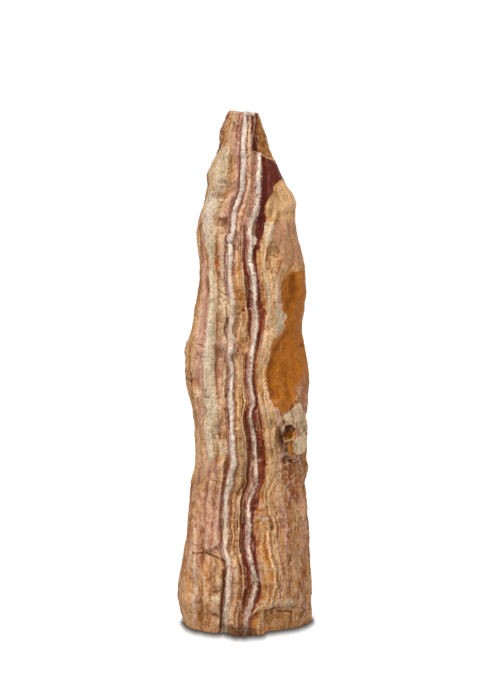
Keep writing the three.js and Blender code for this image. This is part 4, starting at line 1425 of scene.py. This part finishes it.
        out += self.grain * self.grit.rough(places / [7, 7, 8], 2) * (1 - 0.6 * smooth + 2.4 * pitted)
        out += self.waves * self.grit.rough(places / [34, 34, 48] + 7.7, 2)
        for stroke in STROKES:
            if stroke.cut or stroke.step:
                out -= stroke.sunk(places)
        out += self.knob * np.clip(inside_of("knob", places) / 6 + 0.2, 0, 1)
        foot = np.clip(height / 6, 0, 1)
        return (out - self.sunk) * foot

    def _blocks(self, number: np.ndarray, places: np.ndarray) -> tuple[np.ndarray, np.ndarray, np.ndarray]:
        """Finds each place's block, with ragged edges.

        Args:
            number: The layer's number and the share across it.
            places: Places on the stone, in millimetres.

        Returns:
            What Blocks.at returns.
        """
        ragged = places.copy()
        ragged[:, 2] += 3.0 * self.stray.at(places / [9, 14, 9] + 4.4) + 4.0 * self.stray.at(places / 26)
        ragged[:, 1] += 5.0 * self.stray.at(places / 16 + 8.8)
        return self.blocks.at(number, ragged, LAYERS)

    def _measure(self, mesh: bpy.types.Mesh) -> None:
        """Measures what the finish reads: layer, growth, hollows, and the distance inside each face.

        Args:
            mesh: The skin, which keeps the measures.
        """
        places = self.places(mesh)
        number = LAYERS.number(places, self._wander(places))
        rolls, joint, _ = self._blocks(number, places)
        more = np.isin(number.astype(int), WHITES) * self.white_slip + 1
        number = np.clip(number + rolls[:, 2] * self.slip * more, 0, LAYER_COUNT - 0.001)
        facing = self._facing(mesh)
        near, far = (
            np.einsum("ij,ij->i", self._eased(mesh, places, times) - places, facing)
            for times in (self.near_hollows, self.far_hollows)
        )
        measured = {
            "layer": number,
            "height": places[:, 2],
            "across": places[:, 0],
            "hollow_near": near,
            "hollow_far": far,
            "block": rolls[:, 3],
            "joint": np.clip(joint, 0, FAR_KEPT),
        }
        for name in {face.name for face in FACES}:
            measured[name] = np.clip(inside_of(name, places), -FAR_KEPT, FAR_KEPT)
        for kind in {stroke.kind for stroke in STROKES}:
            away = [stroke.away(places) for stroke in STROKES if stroke.kind == kind]
            measured[kind] = np.clip(np.min(away, axis=0), -FAR_KEPT, FAR_KEPT)
        for name, values in measured.items():
            keep(mesh, name, values)
        grown = np.stack([LAYERS.depth_in(number), places[:, 1], places[:, 2]], axis=1) / MM
        stored = mesh.attributes.new("grown", "FLOAT_VECTOR", "POINT")
        stored.data.foreach_set("vector", grown.astype(np.float32).ravel())


@dataclass(frozen=True)
class OnyxFinish:
    """Split banded onyx, matt on its rough breaks and waxy on its smooth ones."""

    name: str = "split_onyx"
    roughness: float = 0.66
    waxy: float = 0.5  # the roughness of the smooth faces
    relief: float = 0.0022  # the height of the finest grain, in metres
    speckle: float = 1.9  # how strongly the fine grain lightens and darkens
    block_tone: float = 0.13  # how far the blocks differ in lightness
    coat: float = 0.035  # how much of a sheen the waxy faces have
    coat_roughness: float = 0.34
    bending: float = 1.49  # how strongly it bends light
    shine: float = 0.09

    def make(self) -> bpy.types.Material:
        """Makes the finish.

        Returns:
            The material, ready for the stone.
        """
        material, graph = Graph.of_finish(self.name)
        layer = graph.measured("layer") + graph.grain((7, 9, 7), 2, 0.6) * 0.16
        layer = layer + graph.grain((24, 60, 38), 2, 0.6, grown=True) * 0.24
        height = graph.measured("height") + graph.grain((14, 22, 60), 2) * 70
        by_white = self._white(layer, 1.0, 0.6)
        layer = layer + by_white * graph.grain((9, 12, 6), 3, 0.7, apart=0.5) * 1.3

        colour = self._layers(graph, layer, height)
        (colour,) = graph.part("weathered", (colour, layer, height), self._weathered)
        colour, streak = graph.part("stripes", (colour, layer), self._stripes)
        (colour,) = graph.part("stains", (colour, layer), self._stains)
        colour, waxed = graph.part("faces", (colour,), self._faces)
        (colour,) = graph.part("patches", (colour,), self._patches)
        # The wear part also paints shade, with brown dirt, into the hollows.
        colour, crumb = graph.part("wear", (colour, streak, waxed), self._wear_and_shade)

        rough = self.roughness + crumb * 0.2 + streak * 0.1
        rough = rough - waxed * (self.roughness - self.waxy)
        height_map = crumb * (1.0 - waxed * 0.5) + streak * 0.3 * (1 - waxed)
        bump = graph.node("ShaderNodeBump", {"Strength": 0.8, "Distance": self.relief, "Height": height_map})
        graph.surface({
            "Base Color": colour,
            "Roughness": rough.most(0.25).least(0.9),
            "Normal": bump.outputs[0],
            "Coat Weight": waxed * self.coat,
            "Coat Roughness": self.coat_roughness,
            "IOR": self.bending,
            "Specular IOR Level": self.shine,
        })
        return material

    @staticmethod
    def _white(layer: Value, out: float, full: float) -> Value:
        """The share of white at each place, which falls off from one distance to another, in layers."""
        first, second = ((layer - (number + 0.5)).size().rise(out, full) for number in WHITES)
        return first.most(second)

    @staticmethod
    def _layers(graph: Graph, layer: Value, height: Value) -> Socket:
        """Paints the layers side by side, from the left.

        Args:
            graph: The finish to paint in.
            layer: The layer's number and the share across it.
            height: The height in millimetres.

        Returns:
            The layers' colour.
        """
        colour = graph.tinted(layer, STRATA[0].reaches[0].bands)
        for i, stratum in enumerate(STRATA):
            (colour,) = graph.part(stratum.name, (colour, layer - float(i), height), stratum.paint)
        return colour

    @staticmethod
    def _weathered(graph: Graph, colour: Socket, layer: Value, height: Value) -> tuple[Socket]:
        """Blurs the outer layers low down, where the crust hides them under soft blotches.

        Args:
            graph: The finish to paint in.
            colour: The colour so far.
            layer: The layer's number and the share across it.
            height: The height in millimetres.

        Returns:
            The colour.
        """
        patch = graph.grain((30, 30, 38), 3, 0.6, apart=0.45)
        crusty = "0.12 umber 0.3 brown 0.42 copper 0.5 tan 0.58 rose 0.7 fawn 0.86 blush"
        crust = graph.tinted(patch * 2.6 + 0.5, crusty)
        outer = layer.rise(3.0, 2.2).most(layer.rise(11.7, 12.3))
        covered = graph.grain((50, 50, 80), 3, 0.6, apart=0.85).rise(-0.16, 0.12)
        return (graph.blend(outer * covered * height.rise(420, 300) * 0.74, colour, crust),)

    @staticmethod
    def _stripes(graph: Graph, colour: Socket, layer: Value) -> tuple[Socket, Value]:
        """Adds the fine lines and stripes that run with the layers.

        Args:
            graph: The finish to paint in.
            colour: The colour so far.
            layer: The layer's number and the share across it.

        Returns:
            The colour, and how strong the stripe is at each place.
        """
        broad = graph.grain((4.4, 40, 90), 2, 0.6, grown=True, bend=0.2)
        thin = graph.grain((2.2, 20, 34), 2, 0.6, grown=True, bend=0.3)
        streak = broad * 0.7 + thin * 0.6
        blotch = graph.grain((15, 15, 20), 3, 0.62)
        line = graph.grain((9, 50, 120), 1, 0.5, grown=True, apart=0.31).size().rise(0.05, 0.008)
        fades = graph.grain((26, 26, 40), 2, 0.6, apart=0.7)
        inner = (layer - 7.5).size().rise(4.4, 3.4)
        colour = graph.blend(line * fades.rise(-0.02, 0.14) * (0.12 + inner * 0.26), colour, Tint.UMBER)
        light = graph.grain((11, 50, 150), 1, 0.5, grown=True, apart=0.93).size().rise(0.045, 0.006)
        colour = graph.blend(light * fades.rise(0.1, -0.06) * 0.45, colour, Tint.SAND)
        pale = (streak * 1.5 + blotch * 0.6).rise(0.14, 0.5)
        colour = graph.blend(pale * 0.2, colour, Tint.SAND)
        warm = graph.grain((31, 31, 47), 2, 0.6)
        colour = graph.blend(warm.rise(0.04, 0.26) * 0.22, colour, Tint.ORANGE, "SOFT_LIGHT")
        colour = graph.blend(warm.rise(-0.04, -0.26) * 0.24, colour, Tint.BLUSH, "SOFT_LIGHT")
        return colour, streak

    def _stains(self, graph: Graph, colour: Socket, layer: Value) -> tuple[Socket]:
        """Adds the dotted dark seams, the cracks and the dark and pale specks.

        Args:
            graph: The finish to paint in.
            colour: The colour so far.
            layer: The layer's number and the share across it.

        Returns:
            The colour.
        """
        beads = graph.grain((4.5, 5, 4), 2)
        for seam, width in ((6.02, 0.1), (7.03, 0.08), (2.05, 0.04), (11.25, 0.04)):
            near = (layer - seam).size().rise(width, width * 0.35)
            colour = graph.blend(near * beads.rise(-0.02, 0.12) * 0.8, colour, Tint.SOOT)
        fray = graph.grain((6, 6, 6), 3, 0.65, apart=0.2)
        joint = (graph.measured("joint") + fray * 2.4).rise(1.5, 0.3)
        open_ = graph.grain((26, 40, 50), 2, apart=0.5).rise(-0.06, 0.1)
        white = self._white(layer, 0.6, 0.5)
        colour = graph.blend(joint * open_ * (0.26 + white * 0.5), colour, Tint.MAUVE, "MULTIPLY")
        level = graph.grain((60, 60, 9), 3, 0.65, grown=True, apart=0.4).size().rise(0.02, 0.004)
        colour = graph.blend(level * open_ * 0.26, colour, Tint.BROWN, "MULTIPLY")
        fleck = graph.grain((7, 7, 4.5), 3, 0.7, apart=0.7).rise(0.07, 0.22)
        colour = graph.blend(fleck * white * 0.3, colour, Tint.MAUVE, "MULTIPLY")
        khaki = (layer - 1.5).size().rise(0.6, 0.4)
        calm = white.most(khaki * 0.7)
        speck = graph.grain((3.2, 3.2, 3.8), 3, 0.72)
        tone = 1 - speck.rise(0.12, 0.23) * (0.4 - calm * 0.28) + speck.rise(-0.12, -0.24) * 0.32
        wrinkle = graph.grain((16, 30, 2.8), 1, 0.5, grown=True, bend=0.4)
        tone = tone + wrinkle * khaki * 0.55
        return (graph.shade(colour, tone),)

    @staticmethod
    def _faces(graph: Graph, colour: Socket) -> tuple[Socket, Value]:
        """Lays the bare faces over the layers.

        Args:
            graph: The finish to paint in.
            colour: The colour so far.

        Returns:
            The colour, and how waxy each place is.
        """
        nibble = graph.grain((15, 15, 15), 5, 0.74) * 22
        mottle = graph.grain((13, 13, 18), 5, 0.72)
        wisps = graph.grain((4, 9, 22), 4, 0.7, turn=24)
        tone = mottle * 1.8 + 0.5

        def inside(name: str, soft: float = 0.7) -> Value:
            """The share of a face that shows at each place, from 0 to 1."""
            return (graph.measured(name) + nibble).rise(-soft, soft)

        ragged = graph.measured("honey_face") + nibble * 1.9
        honey = ragged.rise(-0.7, 0.7)
        rim = ragged.size().rise(1.8, 0.5) * wisps.rise(0.0, 0.12)
        amber = graph.tinted(tone, "0.15 deep_honey 0.4 honey 0.62 honey 0.9 orange")
        amber = graph.blend((wisps - mottle * 0.4).rise(0.18, 0.3) * 0.45, amber, Tint.OCHRE)
        grit = graph.grain((3, 3, 3.6), 3, 0.75, apart=0.9)
        amber = graph.shade(amber, 1.02 + grit * 1.5 + mottle * 0.45)
        colour = graph.blend(rim * 0.35, graph.blend(honey, colour, amber), Tint.SAND)

        red = inside("red_face")
        wine = graph.tinted(tone, "0.1 plum 0.5 oxblood 0.8 rust 1 brick")
        wine = graph.shade(wine, 1.05 + grit * 0.9)
        colour = graph.blend(red, colour, wine)
        waxed = honey.most(red)

        cream = inside("cream_face")
        rim = (graph.measured("cream_face") + nibble * 1.4).rise(7.5, 1.0)
        milk = graph.tinted(tone, "0.1 tan 0.4 fawn 0.65 cream 1 sand")
        colour = graph.blend(cream, colour, graph.blend(rim * 0.6, milk, Tint.OCHRE))
        waxed = waxed.most(cream * 0.6)

        gold = graph.tinted(tone, "0.1 umber 0.3 brown 0.5 ochre 0.8 fawn")
        brown = graph.tinted(tone, "0.1 oxblood 0.5 umber 0.9 brick")
        gold = graph.blend((graph.measured("across") + nibble).rise(24, 34), brown, gold)
        gold = graph.blend(grit.rise(0.08, 0.2) * 0.65, gold, Tint.UMBER)
        colour = graph.blend(inside("notch", 1.2), colour, gold)

        bare = graph.tinted(tone, "0.1 brown 0.35 tan 0.6 rose 0.8 fawn")
        flat = (graph.measured("flat_face") + nibble * 1.5).rise(-1.5, 1.5)
        colour = graph.blend(flat * 0.85, colour, bare)
        waxed = waxed.most(flat * 0.5)

        colour = graph.blend(inside("ashen", 3.0) * wisps.rise(-0.06, 0.12) * 0.8, colour, Tint.LILAC)
        for name, soft, share, light, listed in (
            ("scab", 0.7, 0.9, tone, "0.1 fawn 0.5 khaki 0.9 bone"),
            ("pit_brow", 1.0, 0.9, tone, "0.1 lichen 0.4 sage 0.65 sand 1 khaki"),
            ("pit", 1.0, 1.0, mottle * 3 + 0.5, "0.05 soot 0.25 dusk 0.5 brown 0.75 sage"),
            ("pit_lump", 1.0, 1.0, tone, "0.1 fawn 0.35 sand 0.8 khaki"),
            ("pit_gold", 1.0, 1.0, tone, "0.1 brick 0.4 orange 0.9 gold"),
            ("foot_face", 1.5, 0.85, tone, "0.1 rust 0.35 brown 0.6 tan 0.9 ochre"),
        ):
            colour = graph.blend(inside(name, soft) * share, colour, graph.tinted(light, listed))
        return colour, waxed

    @staticmethod
    def _patches(graph: Graph, colour: Socket) -> tuple[Socket]:
        """Adds the odd patches, knobs, cracks and veins.

        Args:
            graph: The finish to paint in.
            colour: The colour so far.

        Returns:
            The colour.
        """
        nibble = graph.grain((7, 7, 8), 4, 0.68) * 10
        tone = graph.grain((8, 8, 12), 4, 0.68, apart=0.6) * 2 + 0.5
        for name, share, listed in (
            ("pale_patch", 0.85, "0.15 fawn 0.45 sand 0.85 bone"),
            ("rosy_patch", 0.85, "0.15 rose 0.4 blush 0.85 bone"),
            ("pink_block", 0.5, "0.15 brown 0.38 rose 0.6 blush 0.9 peach"),
            ("grey_patch", 0.8, "0.15 lichen 0.5 sage 0.85 khaki"),
            # Two of the brown patches, low on the left, are painted shade under bulges.
            ("brown_patch", 0.6, "0.15 dusk 0.5 brown 0.85 tan"),
            ("gold_patch", 0.7, "0.15 brick 0.45 copper 0.85 ochre"),
            ("orange_patch", 0.6, "0.15 brown 0.5 copper 0.85 ochre"),
            ("red_patch", 0.8, "0.15 oxblood 0.5 rust 0.85 brick"),
            ("grimy_patch", 0.55, "0.2 umber 0.6 brown 0.9 mauve"),
            ("knob", 0.9, "0.15 lilac 0.45 bone 0.8 chalk"),
        ):
            shows = (graph.measured(name) + nibble).rise(-1.2, 1.2) * share
            colour = graph.blend(shows, colour, graph.tinted(tone, listed))
        soot = (graph.measured("sooty_patch") + nibble).rise(-2, 4) * (1 - tone * 0.6)
        colour = graph.blend(soot, colour, Tint.LICHEN, "MULTIPLY")
        fray = graph.grain((5, 5, 6), 3, 0.7, apart=0.8)
        broken = graph.grain((14, 14, 14), 2, apart=0.15).rise(-0.24, -0.06)
        crack = (graph.measured("dark_crack") + fray * 2.6).rise(1.0, -0.6) * broken
        colour = graph.blend(crack * 0.8, colour, Tint.UMBER)
        vein = (graph.measured("pale_vein") + fray * 2.6).rise(1.0, -0.6) * broken
        colour = graph.blend(vein * 0.55, colour, Tint.BONE)
        return (colour,)

    def _wear_and_shade(self, graph: Graph, colour: Socket, streak: Value, waxed: Value) -> tuple[Socket, Value]:
        """Paints shade and brown dirt into the hollows, bruises the crests and adds the fine grain.

        Args:
            graph: The finish to paint in.
            colour: The colour so far.
            streak: How strong the stripe is at each place.
            waxed: How waxy each place is.

        Returns:
            The colour, and the grain.
        """
        scatter = graph.grain((4, 4, 5), 3, 0.6)
        crumb = graph.grain((4.2, 4.2, 4.8), 4, 0.72, apart=0.37)
        near = graph.measured("hollow_near")
        far = graph.measured("hollow_far")
        # Painted shade, with brown dirt: the deeper the hollow, the darker and browner the colour.
        hollow_shade_and_dirt = (near * 1.5 + far * 0.3 + scatter * 0.6).rise(0.3, 1.8)
        bruise = (scatter * 0.8 - near * 1.5 - far * 0.1).rise(0.35, 1.3)
        bruise = bruise * graph.measured("height").rise(6, 34)
        colour = graph.blend(hollow_shade_and_dirt * 0.42, colour, Tint.BROWN, "MULTIPLY")
        colour = graph.blend(bruise * 0.26 * (1 - waxed * 0.85), colour, Tint.BONE)
        dust = graph.grain((2.7, 2.7, 2.9), 1, apart=0.55)
        tone = crumb * self.speckle + streak * 0.42 + graph.measured("block") * self.block_tone
        tone = 1.03 + tone * (1 - waxed * 0.5) + dust * 0.55
        return graph.shade(colour, tone.most(0.4)), crumb


@dataclass
class Studio:
    """The pale floor, the soft light and the camera."""

    camera_place: tuple[float, float, float] = (-0.0021, -3.606, 0.86)
    camera_dip: float = 3.24  # degrees below level
    sensor: float = 36.0
    lens: float = 36 * 1538 / 693
    shift: float = 0.0007
    farthest: float = 200.0  # what lies further than this isn't seen, in metres
    floor_half: float = 60.0  # half the floor, in metres
    near_half: float = 0.3  # half the floor's finely divided middle, in metres
    floor_cells: int = 220
    floor_stretch: int = 41  # how late the floor's cells widen to its rim. It is odd, to keep their side
    surround: float = 0.58
    seen_white: float = 1.05  # how bright the surround is where the camera sees it
    shade: float = 0.97
    shade_reach: tuple[float, float, float] = (14, 85, 1)  # how far the shade spreads, in millimetres
    foot_steps: int = 5  # how many places are read along each edge of the foot

    def build(self, stone: bpy.types.Object) -> None:
        """Sets the stone in the studio.

        Args:
            stone: The stone, already in place.
        """
        floor = self._floor(stone)
        self._surround()
        only_stone = self._group("lit_stone", stone)
        only_floor = self._group("lit_floor", floor)
        self._sun("key", 1.95, (50, -44), 20, only_stone)
        self._sun("front", 0.65, (22, 8), 50, only_stone)
        self._sun("right", 0.5, (40, 75), 50, only_stone)
        self._sun("overhead", 2.6, (88, 0), 26, only_floor, shadow=False)
        self._camera()

    def _floor(self, stone: bpy.types.Object) -> bpy.types.Object:
        """The pale floor, with a soft shade that hugs the stone's foot.

        Args:
            stone: The stone that stands on it.

        Returns:
            The floor.
        """
        made = bmesh.new()
        bmesh.ops.create_grid(made, x_segments=self.floor_cells, y_segments=self.floor_cells, size=1)
        mesh = bpy.data.meshes.new("floor")
        made.to_mesh(mesh)
        made.free()
        share = StoneSkin.places(mesh) / MM
        StoneSkin.move(mesh, (share * self.near_half + share**self.floor_stretch * self.floor_half) * MM)
        sides = StoneSkin.places(stone.data)[read(stone.data.edges, "vertices", 2, int)]
        starts, ends = (sides[(sides[:, :, 2] < SETTLED).all(axis=1)] / self.shade_reach).transpose(1, 0, 2)
        steps = range(self.foot_steps)
        under = np.concatenate([starts + (ends - starts) * step / self.foot_steps for step in steps])
        tree = KDTree(len(under))
        for i, place in enumerate(under):
            tree.insert((place[0], place[1], 0), i)
        tree.balance()
        away = [tree.find((x, y, 0))[2] for x, y, _ in StoneSkin.places(mesh) / self.shade_reach]
        keep(mesh, "foot_away", np.clip(away, 0, 2))
        floor = placed("floor", mesh)
        material, graph = Graph.of_finish("pale_floor")
        shaded = graph.measured("foot_away").rise(1, 0) * self.shade
        graph.surface({
            "Base Color": graph.blend(shaded, Tint.PAPER, Tint.SHADOW),
            "Roughness": graph.grain((300, 300, 300), 2) * 0.1 + 0.85,
            "Specular IOR Level": 0.1,
        })
        mesh.materials.append(material)
        floor.visible_diffuse = False
        return floor

    def _surround(self) -> None:
        """The white surround, which lights softly from all sides."""
        world = bpy.data.worlds.new("white_surround")
        world.use_nodes = True
        graph = Graph(world.node_tree)
        seen = graph.node("ShaderNodeLightPath").outputs["Is Camera Ray"]
        strength = graph.node("ShaderNodeMapRange", {0: seen, 3: self.surround, 4: self.seen_white})
        white = graph.node("ShaderNodeBackground", {0: (1, 1, 1, 1), 1: strength.outputs[0]})
        graph.node("ShaderNodeOutputWorld", {0: white.outputs[0]})
        bpy.context.scene.world = world
        bpy.context.scene.view_settings.view_transform = "Standard"
        bpy.context.scene.view_settings.look = "None"

    @staticmethod
    def _group(name: str, *members: bpy.types.Object) -> bpy.types.Collection:
        """Groups what a light falls on.

        Args:
            name: The group's name.
            members: What it holds.

        Returns:
            The group.
        """
        group = bpy.data.collections.new(name)
        for member in members:
            group.objects.link(member)
        return group

    @staticmethod
    def _sun(
        name: str,
        strength: float,
        way: tuple[float, float],
        softness: float,
        on: bpy.types.Collection,
        shadow: bool = True,
    ) -> None:
        """Hangs a soft light.

        Args:
            name: The light's name.
            strength: How bright it is.
            way: How high it hangs and how far round it is from the front, in degrees. Left is below 0.
            softness: How wide it is, in degrees.
            on: What it falls on.
            shadow: Whether it casts shadows.
        """
        lamp = bpy.data.lights.new(name, "SUN")
        lamp.energy = strength
        lamp.angle = math.radians(softness)
        lamp.use_shadow = shadow
        held = placed(name, lamp)
        height, round_ = (math.radians(angle) for angle in way)
        held.rotation_euler = (math.pi / 2 - height, 0, round_)
        held.light_linking.receiver_collection = on

    def _camera(self) -> None:
        """The camera, where the picture was taken from."""
        lens = bpy.data.cameras.new("camera")
        lens.lens = self.lens
        lens.sensor_width = self.sensor
        lens.shift_x = self.shift
        lens.clip_end = self.farthest
        held = placed("camera", lens)
        held.location = self.camera_place
        held.rotation_euler = (math.radians(90 - self.camera_dip), 0, 0)
        bpy.context.scene.camera = held


def main() -> None:
    """Builds the stone and its studio."""
    logging.basicConfig(level=logging.INFO, format="%(name)s: %(message)s")
    stone = StoneSkin().build()
    stone.data.materials.append(OnyxFinish().make())
    log.info("%s: %d faces, riding on root", stone.name, len(stone.data.polygons))
    Studio().build(stone)
    log.info("floor, lights and camera are in place")


if __name__ == "__main__":
    main()
